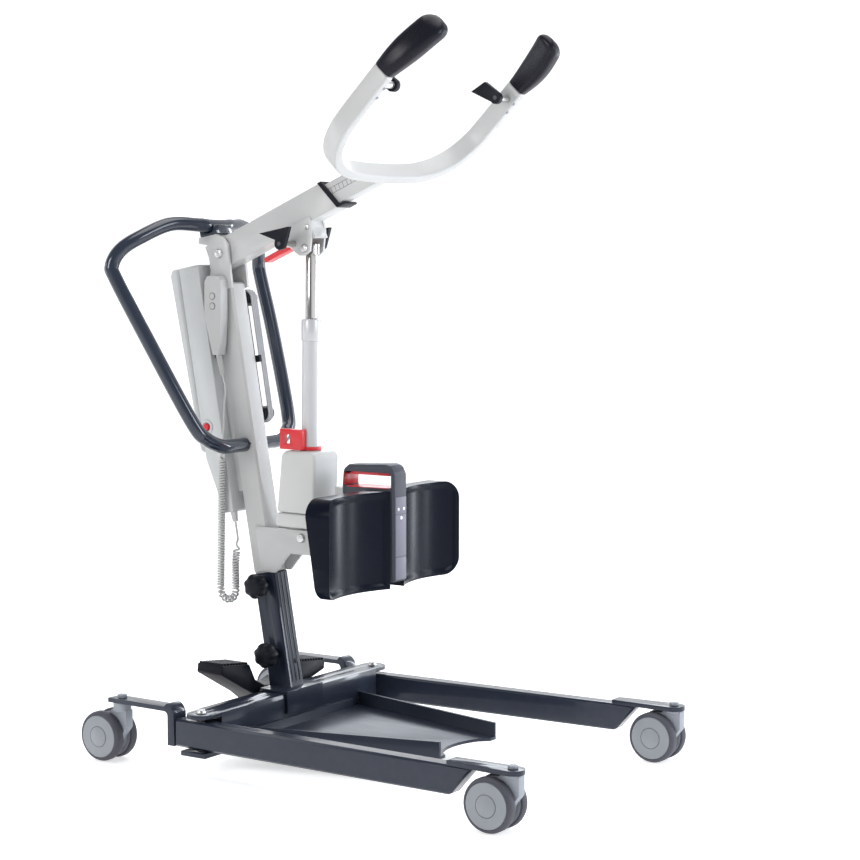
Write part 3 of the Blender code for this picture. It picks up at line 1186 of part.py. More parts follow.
def make_charger_cable():
    """Charging lead wound round the hanger's pegs, and the hanger that carries both its ends."""
    turns = WINDING_LOOPS - 0.5
    radius = PEG_D / 2 + CORD_D / 2 + 2 * CLEAR
    run = HANGER_WS[1] - HANGER_WS[0]
    loop = 2 * run + 2 * math.pi * radius
    stops = [(run * 0.25) / loop, (run * 0.5) / loop]
    stops += [(run * 0.5 + math.pi * radius * step / 8) / loop for step in range(1, 9)]
    stops += [(run * (0.5 + 0.25 * step) + math.pi * radius) / loop for step in range(1, 5)]
    stops += [(run * 1.5 + math.pi * radius * (1 + step / 8)) / loop for step in range(1, 9)]
    stops += [(run * 1.75 + 2 * math.pi * radius) / loop, 1.0]
    places = [0.0, CORD_D / loop]
    for whole in range(WINDING_LOOPS):
        places += [whole + stop for stop in stops if whole + stop < turns - CORD_D / loop]
    places += [turns - CORD_D / loop, turns]
    points = [winding_place(turn) for turn in places]
    points[0].y = points[1].y
    points[-1].y = points[-2].y
    print("charging lead least gap %.5f m" % least_gap(points, CORD_D, 8))
    tube("charger_cable", MAST, points, CORD_D, CORD_PLASTIC, 1)
    make_hanger(points[0], points[-1])


def make_hanger(first, last):
    """Back plate with two pegs, and a clip at each end of the wound lead."""
    face = MAST_WIDTH / 2 + CLEAR
    back = face + 0.003
    out = last.y + 0.006
    hanger = block("cable_hanger", MAST, (HANGER_U - 0.010, face, HANGER_WS[0] - 0.010),
                   (HANGER_U + 0.010, back, HANGER_WS[1] + 0.010), BLACK_PLASTIC)
    tools = []
    for place in HANGER_WS:
        tools.append(cylinder("peg", MAST, (HANGER_U, face + 0.001, place), (0, 1, 0), out - face, PEG_D,
                              sides=20))
    half = CORD_D / 2 + 0.0005
    tools.append(block("start_clip", MAST, (HANGER_U, face + 0.0005, first.z - 0.014),
                       (first.x + half, first.y + CORD_D / 2, first.z - CLEAR)))
    tools.append(block("end_stalk", MAST, (last.x - 0.014, face + 0.0005, last.z - 0.014),
                       (last.x - CORD_D / 2 - 0.001, out, last.z - CLEAR)))
    tools.append(block("stalk_foot", MAST, (last.x - 0.014, face + 0.0004, last.z - 0.013),
                       (HANGER_U, back - 0.0005, last.z - 0.002)))
    tools.append(block("end_clip", MAST, (last.x - 0.013, last.y - CORD_D / 2, last.z - 0.013),
                       (last.x + half, out - 0.0005, last.z - CLEAR)))
    weld(hanger, *tools)


make_cross_beam()
for side, sign in SIDES:
    make_tie_bar(side, sign)
    make_pivot_bolt(side, sign)
    make_leg(side, sign)
make_pedal()
make_footplate()
make_socket()
make_mast()
make_bolt("boom_pivot_bolt", BOOM, MAST_WIDTH / 2 + HEAD_PLATE_T, PIVOT_PIN_D, 0.020)
make_bolt("actuator_foot_bolt", ACTUATOR, MAST_WIDTH / 2 + BRACKET_T, FOOT_PIN_D, 0.020)
make_bolt("clevis_pin", frame_at("clevis_frame", BOOM, (CLEVIS_X, 0, -CLEVIS_DROP)), BOOM_W / 2 + CLEVIS_T,
          CLEVIS_PIN_D,
          0.017)
for name, place in zip(("lower", "upper"), KNOB_WS):
    make_knob(name, place)
make_push_handle()
make_handle_clamp()
make_boom()
make_collar()
make_inner_tube()
make_release_lever()
make_arm()
for side, sign in SIDES:
    make_boom_hook(side, sign)
    make_grip(side, sign)
    make_sling_hook(side, sign)
make_actuator()
make_knee_spine()
make_trigger_box("knee_trigger", 0.0, 0.0, RED_PLASTIC)
for side, sign in SIDES:
    make_knee_pad(side, sign)
make_control_box()
make_handset()
make_handset_cord()
make_charger_cable()
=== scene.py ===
# Looks of the sit-to-stand lift: finishes, rounded edges, turned and moulded pieces, cords and pads.
import math

import bmesh
import bpy
from mathutils import Matrix, Vector


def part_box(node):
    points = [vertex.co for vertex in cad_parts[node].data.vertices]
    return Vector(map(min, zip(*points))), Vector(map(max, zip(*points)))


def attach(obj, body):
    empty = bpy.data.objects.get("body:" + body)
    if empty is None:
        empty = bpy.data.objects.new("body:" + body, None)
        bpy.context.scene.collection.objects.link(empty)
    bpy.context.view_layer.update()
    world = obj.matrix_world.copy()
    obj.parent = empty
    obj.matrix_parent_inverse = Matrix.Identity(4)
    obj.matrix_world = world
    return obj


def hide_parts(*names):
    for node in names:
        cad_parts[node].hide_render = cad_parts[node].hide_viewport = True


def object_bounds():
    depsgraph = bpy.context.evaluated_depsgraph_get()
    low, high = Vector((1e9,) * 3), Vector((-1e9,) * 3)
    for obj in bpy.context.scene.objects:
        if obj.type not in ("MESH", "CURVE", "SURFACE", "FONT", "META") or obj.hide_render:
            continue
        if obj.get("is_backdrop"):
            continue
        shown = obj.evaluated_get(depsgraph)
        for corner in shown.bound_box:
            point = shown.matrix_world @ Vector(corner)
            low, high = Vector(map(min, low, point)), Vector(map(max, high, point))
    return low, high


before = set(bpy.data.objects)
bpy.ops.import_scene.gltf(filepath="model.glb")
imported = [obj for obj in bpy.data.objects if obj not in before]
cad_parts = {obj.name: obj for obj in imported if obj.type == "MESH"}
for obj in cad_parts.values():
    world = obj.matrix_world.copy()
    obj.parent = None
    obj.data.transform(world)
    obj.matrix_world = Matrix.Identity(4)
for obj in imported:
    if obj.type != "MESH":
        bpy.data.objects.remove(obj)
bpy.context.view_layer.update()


# Cross beam, legs and forks.
# Folded and welded steel, powder coated in a dark navy grey with a fine orange-peel skin.
# The legs turn on bolts in the beam's forks; paint is dusty near the floor.
class Wire:
    """A shader value that sums and products extend with Math nodes."""

    def __init__(self, finish, socket):
        self.finish = finish
        self.socket = socket

    def maths(self, operation, first, second):
        return self.finish.node("ShaderNodeMath", {"operation": operation}, {0: first, 1: second})

    def __add__(self, other):
        return self.maths("ADD", self, other)

    def __radd__(self, other):
        return self.maths("ADD", other, self)

    def __mul__(self, other):
        return self.maths("MULTIPLY", self, other)

    def __rmul__(self, other):
        return self.maths("MULTIPLY", other, self)


class Finish:
    """One procedural material on Object coordinates."""

    def __init__(self, name, **fixed):
        self.material = bpy.data.materials.new(name)
        self.material.use_nodes = True
        self.tree = self.material.node_tree
        self.shader = self.tree.nodes["Principled BSDF"]
        self.place = None
        for socket, value in fixed.items():
            self.shader.inputs[socket.replace("_", " ").title().replace("Ior", "IOR")].default_value = value

    def node(self, kind, settings=None, sockets=None, output=0):
        made = self.tree.nodes.new(kind)
        for setting, value in (settings or {}).items():
            setattr(made, setting, value)
        for socket, value in (sockets or {}).items():
            if isinstance(value, Wire):
                self.tree.links.new(value.socket, made.inputs[socket])
            else:
                made.inputs[socket].default_value = value
        return Wire(self, made.outputs[output])

    def where(self):
        if self.place is None:
            self.place = self.node("ShaderNodeTexCoord", output=3)
        return self.place

    def axis(self, name):
        return self.node("ShaderNodeSeparateXYZ", None, {0: self.where()}, "XYZ".index(name))

    def noise(self, scale, detail=2.0, stretch=(1, 1, 1)):
        spot = self.node("ShaderNodeMapping", None, {"Vector": self.where(), "Scale": stretch})
        return self.node("ShaderNodeTexNoise", None, {"Vector": spot, "Scale": scale, "Detail": detail})

    def pits(self, scale):
        return self.node("ShaderNodeTexVoronoi", None, {"Vector": self.where(), "Scale": scale})

    def tint(self, amount, dark, light):
        sockets = {0: amount, 6: (*dark, 1), 7: (*light, 1)}
        return self.node("ShaderNodeMix", {"data_type": "RGBA"}, sockets, 2)

    def colour(self, wire):
        self.tree.links.new(wire.socket, self.shader.inputs["Base Color"])

    def roughness(self, wire):
        self.tree.links.new(wire.socket, self.shader.inputs["Roughness"])

    def relief(self, height, distance, strength=1.0):
        sockets = {"Height": height, "Distance": distance, "Strength": strength}
        bump = self.node("ShaderNodeBump", None, sockets)
        self.tree.links.new(bump.socket, self.shader.inputs["Normal"])


def powder_coat(name, dark, light, gloss, mirror, clear, dust=None):
    """Sprayed and baked paint: cloudy tone, orange-peel skin, and dust low down if asked."""
    coat = Finish(name, specular_ior_level=mirror, coat_weight=clear, coat_roughness=0.07)
    cloud = coat.noise(14.0, 4.0)
    tone = coat.tint(cloud, dark, light)
    if dust:
        low = coat.node("ShaderNodeMapRange", None, {0: coat.axis("Z"), 1: 0.20, 2: 0.02, 3: 0.0, 4: 0.16})
        tone = coat.node("ShaderNodeMix", {"data_type": "RGBA"},
                         {0: low * coat.noise(60.0, 6.0), 6: tone, 7: (*dust, 1)}, 2)
    coat.colour(tone)
    coat.roughness(gloss + coat.noise(45.0, 3.0) * 0.12)
    coat.relief(coat.noise(950.0, 1.0), 0.00012, 0.35)
    return coat.material


def rounded(mesh, width, segments):
    """A mesh with its sharp edges rounded and its round faces shaded smooth."""
    holder = bpy.data.objects.new("rounding", mesh)
    bpy.context.scene.collection.objects.link(holder)
    bevel = holder.modifiers.new("edges", "BEVEL")
    bevel.width = width
    bevel.segments = segments
    bevel.limit_method = "ANGLE"
    bevel.angle_limit = math.radians(38)
    return settled(holder)


def settled(holder):
    """The mesh that an object's modifiers give, with the object removed."""
    bpy.context.view_layer.update()
    made = bpy.data.meshes.new_from_object(holder.evaluated_get(bpy.context.evaluated_depsgraph_get()))
    bpy.data.objects.remove(holder)
    made.shade_smooth()
    made.set_sharp_from_angle(angle=math.radians(35))
    return made


def piece(name, mesh, finish, body, nodes=()):
    """A finished piece at the origin that rides on a body and stands for CAD nodes."""
    made = bpy.data.objects.new(name, mesh)
    bpy.context.scene.collection.objects.link(made)
    if finish is not None:
        mesh.materials.clear()
        mesh.materials.append(finish)
    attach(made, body)
    if nodes:
        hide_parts(*nodes)
    return made


def soften(node, finish, body, width=0.0012, segments=2):
    """A CAD node's own shape with its edges eased, as sprayed or moulded edges are."""
    work = bmesh.new()
    work.from_mesh(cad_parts[node].data)
    bmesh.ops.remove_doubles(work, verts=work.verts, dist=1e-5)
    bmesh.ops.dissolve_limit(work, angle_limit=math.radians(1), verts=work.verts, edges=work.edges)
    mesh = bpy.data.meshes.new(node)
    work.to_mesh(mesh)
    work.free()
    return piece(node + "_shell", rounded(mesh, width, segments), finish, body, (node,))


navy = powder_coat("navy_powder_coat", dark=(0.013, 0.018, 0.033), light=(0.020, 0.027, 0.047), gloss=0.26,
                   mirror=0.14, clear=0.45, dust=(0.12, 0.12, 0.12))
soften("cross_beam", navy, "base")
for side in ("left", "right"):
    soften("leg_" + side, navy, "leg_" + side, 0.0045, 4)

# Footplate.
# Pressed steel tray with raised rims, coated like the beam; fine ridges run across it for grip.
tray = Finish("tray_coat", specular_ior_level=0.2, coat_weight=0.22, coat_roughness=0.25)
ridges = tray.node("ShaderNodeTexWave", {"bands_direction": "X"}, {"Vector": tray.where(), "Scale": 26.0})
scuffs = tray.noise(35.0, 8.0, (0.25, 1, 1))
tray.colour(tray.tint(scuffs * 0.8, (0.016, 0.021, 0.035), (0.032, 0.039, 0.058)))
tray.roughness(0.30 + scuffs * 0.22)
tray.relief(ridges * 0.7 + tray.noise(900.0, 1.0) * 0.3, 0.0004, 0.30)
soften("footplate", tray.material, "base", 0.0015)

# Pivot bolts, boom bolt, foot bolt, clevis pin and tie bars.
# Zinc-plated steel, turned, with brushed faces; bolts run through welded plates.
zinc = Finish("zinc_plate", metallic=1.0)
brushing = zinc.noise(600.0, 3.0, (1, 0.08, 1))
zinc.colour(zinc.tint(brushing, (0.50, 0.50, 0.50), (0.66, 0.66, 0.65)))
zinc.roughness(0.26 + brushing * 0.18)
zinc.relief(brushing, 0.00005, 0.3)
for node, body in (("pivot_bolt_left", "base"), ("pivot_bolt_right", "base"), ("boom_pivot_bolt", "mast"),
                   ("actuator_foot_bolt", "mast"), ("clevis_pin", "boom"), ("tie_bar_left", "tie_left"),
                   ("tie_bar_right", "tie_right")):
    soften(node, zinc.material, body, 0.0008)

# Castors.
# Glass-filled nylon hoods with a steel stem, and two wheels each: a grey plastic disc with a dished
# hub and a bonded grey rubber tread. The rear castors have brake tabs.
hood_nylon = Finish("hood_nylon")
grain = hood_nylon.pits(1400.0)
hood_nylon.colour(hood_nylon.tint(hood_nylon.noise(20.0, 3.0), (0.27, 0.29, 0.33), (0.35, 0.37, 0.41)))
hood_nylon.roughness(0.42 + grain * 0.2)
hood_nylon.relief(grain, 0.0001, 0.3)
disc_nylon = Finish("disc_nylon")
speck = disc_nylon.noise(700.0, 2.0)
disc_nylon.colour(disc_nylon.tint(disc_nylon.noise(18.0, 4.0), (0.235, 0.25, 0.275), (0.30, 0.315, 0.34)))
disc_nylon.roughness(0.36 + speck * 0.15)
disc_nylon.relief(speck, 0.00008, 0.3)
tread = Finish("tread_rubber")
wear = tread.noise(55.0, 6.0)
tread.colour(tread.tint(wear, (0.045, 0.045, 0.060), (0.080, 0.080, 0.098)))
tread.roughness(0.55 + wear * 0.2)
tread.relief(tread.noise(420.0, 4.0), 0.00025, 0.5)


def spun(profile, place, turn, steps=64):
    """A closed profile of (radius, height) turned about an axis."""
    work = bmesh.new()
    ring = [work.verts.new((radius, 0, height)) for radius, height in profile]
    edges = [work.edges.new((a, b)) for a, b in zip(ring, ring[1:] + ring[:1])]
    bmesh.ops.spin(work, geom=ring + edges, cent=(0, 0, 0), axis=(0, 0, 1), angle=math.tau, steps=steps,
                   use_merge=True)
    bmesh.ops.remove_doubles(work, verts=work.verts, dist=1e-6)
    bmesh.ops.recalc_face_normals(work, faces=work.faces)
    work.transform(Matrix.Translation(place) @ turn)
    mesh = bpy.data.meshes.new("turned")
    work.to_mesh(mesh)
    work.free()
    mesh.shade_smooth()
    mesh.set_sharp_from_angle(angle=math.radians(35))
    return mesh


WHEEL_RADIUS, DISC_RADIUS, CAP_RADIUS, WHEEL_BORE = 0.050, 0.042, 0.0196, 0.0063
WHEEL_INSIDE, WHEEL_OUTSIDE = 0.011, 0.033


def wheel_mesh(place, outward):
    """Disc and tread of one wheel; the disc's faces take the second material."""
    radius, bore, inside, outside = WHEEL_RADIUS, WHEEL_BORE, WHEEL_INSIDE, WHEEL_OUTSIDE
    rim = [(bore, inside), (0.034, inside), (0.036, inside + 0.002), (radius - 0.005, inside),
           (radius - 0.0015, inside + 0.0012), (radius, inside + 0.004), (radius, outside - 0.009),
           (radius - 0.0015, outside - 0.0045), (radius - 0.004, outside - 0.0018),
           (radius - 0.0072, outside - 0.0006), (radius - 0.0078, outside - 0.0018),
           (radius - 0.0086, outside - 0.0004), (0.036, outside), (0.0212, outside + 0.0004),
           (0.0204, outside - 0.0008), (bore, outside - 0.0010)]
    cap = [(0.0, outside + 0.0006), (CAP_RADIUS, outside + 0.0006), (CAP_RADIUS + 0.0002, outside + 0.0007),
           (CAP_RADIUS - 0.0001, outside + 0.0009), (0.0, outside + 0.0010)]
    turn = Matrix.Rotation(-outward * math.pi / 2, 4, "X")
    both = bmesh.new()
    both.from_mesh(spun(rim, place, turn))
    both.from_mesh(spun(cap, place, turn))
    mesh = bpy.data.meshes.new("wheel")
    both.to_mesh(mesh)
    both.free()
    mesh.set_sharp_from_angle(angle=math.radians(35))
    mesh.materials.append(tread.material)
    mesh.materials.append(disc_nylon.material)
    for face in mesh.polygons:
        spread = face.center - Vector(place)
        spread.y = 0
        face.material_index = 1 if spread.length < DISC_RADIUS else 0
    return mesh


for end in ("front", "rear"):
    for side in ("left", "right"):
        place = end + "_" + side
        soften("castor_" + place, hood_nylon.material, "castor_" + place, 0.0015, 3)
        for hand, outward in (("inner", 1), ("outer", -1)):
            name = "wheel_%s_%s" % (place, hand)
            low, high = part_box(name)
            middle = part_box("castor_" + place)
            centre = ((low[0] + high[0]) / 2, (middle[0][1] + middle[1][1]) / 2, WHEEL_RADIUS)
            piece(name + "_turned", wheel_mesh(centre, outward), None, name, (name,))
    if end == "rear":
        for side in ("left", "right"):
            soften("brake_tab_rear_" + side, hood_nylon.material, "brake_" + side, 0.001)

# Foot pedal.
# Black moulded nylon rocker on the beam's axle; the two treads have raised ribs for the shoe.
black = Finish("black_nylon", specular_ior_level=0.14)
leather_grain = black.pits(1100.0)
black.colour(black.tint(black.noise(25.0, 3.0), (0.006, 0.0065, 0.010), (0.010, 0.011, 0.017)))
black.roughness(0.32 + leather_grain * 0.20)
black.relief(leather_grain, 0.00014, 0.35)
soften("pedal_rocker", black.material, "pedal", 0.0015)


def rows_of(name, place, count, step, size, finish, sides=0):
    """Equal bars, or round studs, repeated along a line: a Geometry Nodes tree turned into a mesh."""
    tree = bpy.data.node_groups.new(name, "GeometryNodeTree")
    tree.interface.new_socket("Geometry", in_out="INPUT", socket_type="NodeSocketGeometry")
    tree.interface.new_socket("Geometry", in_out="OUTPUT", socket_type="NodeSocketGeometry")
    counted = tree.interface.new_socket("Count", in_out="INPUT", socket_type="NodeSocketInt")
    spaced = tree.interface.new_socket("Step", in_out="INPUT", socket_type="NodeSocketVector")
    sized = tree.interface.new_socket("Size", in_out="INPUT", socket_type="NodeSocketVector")
    given = tree.nodes.new("NodeGroupInput")
    line = tree.nodes.new("GeometryNodeMeshLine")
    tree.links.new(given.outputs["Count"], line.inputs["Count"])
    tree.links.new(given.outputs["Step"], line.inputs["Offset"])
    if sides:
        unit = tree.nodes.new("GeometryNodeMeshCylinder")
        unit.inputs["Vertices"].default_value = sides
        unit.inputs["Radius"].default_value = 0.5
        unit.inputs["Depth"].default_value = 1.0
    else:
        unit = tree.nodes.new("GeometryNodeMeshCube")
    spread = tree.nodes.new("GeometryNodeInstanceOnPoints")
    tree.links.new(line.outputs["Mesh"], spread.inputs["Points"])
    tree.links.new(unit.outputs["Mesh"], spread.inputs["Instance"])
    tree.links.new(given.outputs["Size"], spread.inputs["Scale"])
    real = tree.nodes.new("GeometryNodeRealizeInstances")
    tree.links.new(spread.outputs["Instances"], real.inputs["Geometry"])
    painted = tree.nodes.new("GeometryNodeSetMaterial")
    painted.inputs["Material"].default_value = finish
    tree.links.new(real.outputs["Geometry"], painted.inputs["Geometry"])
    result = tree.nodes.new("NodeGroupOutput")
    tree.links.new(painted.outputs["Geometry"], result.inputs["Geometry"])
    holder = bpy.data.objects.new(name, bpy.data.meshes.new(name))
    bpy.context.scene.collection.objects.link(holder)
    repeat = holder.modifiers.new(name, "NODES")
    repeat.node_group = tree
    repeat[counted.identifier] = count
    repeat[spaced.identifier] = step
    repeat[sized.identifier] = size
    mesh = settled(holder)
    mesh.transform(place)
    return mesh


def fitted_row(name, place, count, step, size, finish, body, edge=0.0004, sides=0):
    """A row of bars or studs with eased edges, fixed on a body."""
    mesh = rows_of(name, place, count, step, size, finish, sides)
    piece(name, rounded(mesh, edge, 2), finish, body)


PEDAL_PLACE = Matrix.Translation((-0.2695, 0, 0.100)) @ Matrix.Rotation(-math.radians(7), 4, "X")
RIB_COUNT, RIB_STEP, RIB_SIZE, RIB_EDGE = 9, 0.0096, (0.060, 0.0048, 0.0060), 0.0012
for side, sign in (("left", 1), ("right", -1)):
    first_rib = PEDAL_PLACE @ Matrix.Translation((-0.033, sign * 0.092, 0.0692))
    fitted_row("pedal_ribs_" + side, first_rib, RIB_COUNT, (0, sign * RIB_STEP, 0), RIB_SIZE, black.material,
               "pedal", RIB_EDGE)

# Mast socket and clamp knobs.
# Navy-coated square tube on a folded saddle, ribbed in front above a black screw; two black lobed knobs
# on steel screws clamp the mast.
soften("mast_socket", navy, "base", 0.002, 3)
MAST_FOOT = Vector((-0.2345, 0.0, 0.122))
MAST_LEAN = math.radians(10)
MAST_TURN = Matrix.Rotation(-MAST_LEAN, 4, "Y")
MAST_PLACE = Matrix.Translation(MAST_FOOT) @ MAST_TURN
ACROSS = Matrix.Rotation(math.pi / 2, 4, "X")
FORWARD = Matrix.Rotation(math.pi / 2, 4, "Y")
ALONE = (0, 0, 0)
SOCKET_RIB, SOCKET_RIB_STEP, SOCKET_SCREW = (0.0012, 0.0030, 0.224), 0.012, (0.0095, 0.0095, 0.0022)
fitted_row("socket_ribs", MAST_PLACE @ Matrix.Translation((0.0272, -SOCKET_RIB_STEP, 0.124)), 3,
           (0, SOCKET_RIB_STEP, 0), SOCKET_RIB, navy, "base")
fitted_row("socket_screw", MAST_PLACE @ Matrix.Translation((0.0276, 0.006, 0.052)) @ FORWARD, 1, ALONE,
           SOCKET_SCREW, black.material, "base", 0.0006, 24)


def lobed_knob(place):
    """Knob head with seven soft lobes, a dished cap, and a plain neck."""
    work = bmesh.new()
    rings = [(0.0, 0.0100), (-0.0005, 0.0100), (-0.0140, 0.0105), (-0.0160, 0.0205), (-0.0185, 0.0245),
             (-0.0300, 0.0262), (-0.0375, 0.0246), (-0.0425, 0.0200), (-0.0450, 0.0130), (-0.0456, 0.0)]
    steps, lobe_count, lobe_depth, neck = 84, 7, 0.055, 0.012
    made = []
    for depth, radius in rings:
        lobes = lobe_depth if radius > neck else 0.0
        loop = []
        for step in range(steps):
            angle = math.tau * step / steps
            reach = radius * (1.0 - lobes + lobes * math.cos(lobe_count * angle))
            loop.append(work.verts.new((reach * math.cos(angle), depth, reach * math.sin(angle))))
        made.append(loop)
    for first, second in zip(made, made[1:]):
        for step in range(steps):
            after = (step + 1) % steps
            work.faces.new((first[step], first[after], second[after], second[step]))
    bmesh.ops.remove_doubles(work, verts=work.verts, dist=1e-6)
    open_edges = [edge for edge in work.edges if edge.is_boundary]
    bmesh.ops.contextual_create(work, geom=open_edges)
    bmesh.ops.recalc_face_normals(work, faces=work.faces)
    work.transform(place)
    mesh = bpy.data.meshes.new("lobed_knob")
    work.to_mesh(mesh)
    work.free()
    mesh.shade_smooth()
    mesh.set_sharp_from_angle(angle=math.radians(50))
    return mesh


KNOB_SEAT = -0.0243
for name, height in (("lower", 0.074), ("upper", 0.216)):
    seat = MAST_PLACE @ Matrix.Translation((0, KNOB_SEAT, height))
    piece("knob_%s_head" % name, lobed_knob(seat), black.material, "knob_" + name,
          ("knob_" + name,))

# Mast tube.
# Light grey powder-coated steel tube with welded head plates, bracket and knee rail.
light_grey = powder_coat("light_grey_powder_coat", dark=(0.47, 0.47, 0.465), light=(0.52, 0.52, 0.515),
                         gloss=0.30, mirror=0.5, clear=0.06)
soften("mast_column", light_grey, "mast", 0.0025, 3)

# Push handle and its clamp.
# One bent steel tube in a glossy dark blue-grey coat, held to the mast sides by small zinc screws and
# clamped on the mast's head.
handle_coat = powder_coat("handle_coat", dark=(0.015, 0.021, 0.037), light=(0.021, 0.029, 0.048), gloss=0.10,
                          mirror=0.2, clear=0.8)


def smooth_path(points, per_span):
    """Points read from a smooth curve through the given points."""
    path = [Vector(point) for point in points]
    ends = [2 * path[0] - path[1]] + path + [2 * path[-1] - path[-2]]
    made = []
    for index in range(1, len(ends) - 2):
        before, here, there, after = ends[index - 1:index + 3]
        for step in range(per_span):
            t = step / per_span
            made.append((2 * t**3 - 3 * t**2 + 1) * here + (t**3 - 2 * t**2 + t) * (there - before) / 2
                        + (3 * t**2 - 2 * t**3) * there + (t**3 - t**2) * (after - here) / 2)
    made.append(path[-1])
    return made


def bent_tube(name, points, diameter, resolution):
    """A round tube along points, closed at its ends."""
    curve = bpy.data.curves.new(name, "CURVE")
    curve.dimensions = "3D"
    curve.bevel_depth = diameter / 2
    curve.bevel_resolution = resolution
    curve.use_fill_caps = True
    curve.twist_mode = "MINIMUM"
    line = curve.splines.new("POLY")
    line.points.add(len(points) - 1)
    for point, where in zip(line.points, points):
        point.co = (*where, 1.0)
    holder = bpy.data.objects.new(name, curve)
    bpy.context.scene.collection.objects.link(holder)
    mesh = settled(holder)
    work = bmesh.new()
    work.from_mesh(mesh)
    bmesh.ops.remove_doubles(work, verts=work.verts, dist=1e-6)
    bmesh.ops.recalc_face_normals(work, faces=work.faces)
    work.to_mesh(mesh)
    work.free()
    mesh.shade_smooth()
    mesh.set_sharp_from_angle(angle=math.radians(50))
    return mesh


HANDLE_FOOT, HANDLE_TOP, HANDLE_TUBE, MAST_SIDE = 0.505, 0.961, 0.029, 0.0233
HANDLE_START = MAST_PLACE @ Vector((0, 0, HANDLE_FOOT))
HANDLE_END = MAST_PLACE @ Vector((-0.0107, 0, HANDLE_TOP))
HANDLE_HALF, HANDLE_BACK, HANDLE_RISE = 0.236, 0.164, HANDLE_END.z - HANDLE_START.z
bends = [(0, 0.23, 0), (0.006, 0.40, 0.004), (0.06, 0.56, 0.040), (0.167, 0.67, 0.123), (0.625, 0.87, 0.497),
         (0.952, 0.987, 0.757), (1.0, 1.0, 0.818), (0.935, 0.94, 0.887), (0.82, 0.79, 0.943),
         (0.68, 0.51, 1.004), (0.574, 0.23, 1.004)]
half = [(HANDLE_START.x, MAST_SIDE, HANDLE_START.z)]
for back, out, up in bends:
    half.append((HANDLE_START.x - HANDLE_BACK * back, HANDLE_HALF * out, HANDLE_START.z + HANDLE_RISE * up))
half.append((HANDLE_END.x, HANDLE_HALF * 0.085, HANDLE_END.z))
handle_line = smooth_path([(x, -y, z) for x, y, z in half] + half[::-1], 8)
handle_tube = bent_tube("push_handle_tube", handle_line, HANDLE_TUBE, 10)
piece("push_handle_tube", handle_tube, handle_coat, "mast", ("push_handle",))
HANDLE_SCREW = (0.0052, 0.0052, 0.0012)
for name, place, facing in (("side", (0.017, -MAST_SIDE, HANDLE_FOOT), ACROSS),
                            ("front", (0.0263, -0.010, HANDLE_FOOT), FORWARD)):
    fitted_row("handle_screw_" + name, MAST_PLACE @ Matrix.Translation(place) @ facing, 1, ALONE,
               HANDLE_SCREW, zinc.material, "mast", sides=18)
soften("handle_clamp", handle_coat, "mast", 0.001)

# Boom, end collar, hooks and release lever.
# Grey-coated rectangular tube with welded and bolted clevis cheeks; black nylon guide collar, black
# strap hooks bolted to zinc posts, and a red moulded lever that frees the telescopic tube.
soften("boom_tube", light_grey, "boom", 0.0012, 2)
soften("boom_collar", black.material, "boom", 0.0012)
BOOM_RISE = math.radians(23.1)
BOOM_PLACE = Matrix.Translation(MAST_PLACE @ Vector((0.010, 0, 0.899))) @ Matrix.Rotation(-BOOM_RISE, 4, "Y")
CHEEK_FACE, CHEEK_BOLT = 0.0262, (0.011, 0.011, 0.0028)
fitted_row("cheek_bolts", BOOM_PLACE @ Matrix.Translation((0.224, CHEEK_FACE, -0.0386)) @ ACROSS, 2,
           (0, 0, 2 * CHEEK_FACE), CHEEK_BOLT, zinc.material, "boom", 0.0007, 20)


def strap_hook(node, body, segments, hub, outward, post_begins, post_ends):
    """A moulded hook on a zinc-plated post, with a bolt head in its hub."""
    hook = soften(node, black.material, body, 0.0015, segments)
    hook.data.materials.append(zinc.material)
    for face in hook.data.polygons:
        face.material_index = 1 if post_begins < abs(face.center.y) < post_ends else 0
    head = [(0.0, -0.0012), (0.0042, -0.0012), (0.0042, 0.0008), (0.0036, 0.0012), (0.0024, 0.0004),
            (0.0, 0.0004)]
    bolt = spun(head, hub, Matrix.Rotation(-outward * math.pi / 2, 4, "X"), 28)
    piece(node.replace("hook", "hook_bolt"), bolt, tread.material, body)


BOOM_HOOK_X, BOOM_HOOK_Z, BOOM_HOOK_FACE, BOOM_POST_END = 0.1807, -0.056, 0.0733, 0.0608
for side, sign in (("left", 1), ("right", -1)):
    hub = BOOM_PLACE @ Vector((BOOM_HOOK_X, sign * BOOM_HOOK_FACE, BOOM_HOOK_Z))
    strap_hook("boom_hook_" + side, "boom", 2, hub, sign, 0.0, BOOM_POST_END)
red = Finish("red_plastic", coat_weight=0.1)
flow = red.noise(40.0, 4.0)
red.colour(red.tint(flow, (0.58, 0.012, 0.020), (0.72, 0.022, 0.032)))
red.roughness(0.28 + flow * 0.15)
red.relief(red.noise(1000.0, 1.0), 0.00008, 0.3)
soften("release_lever", red.material, "lever", 0.0012)

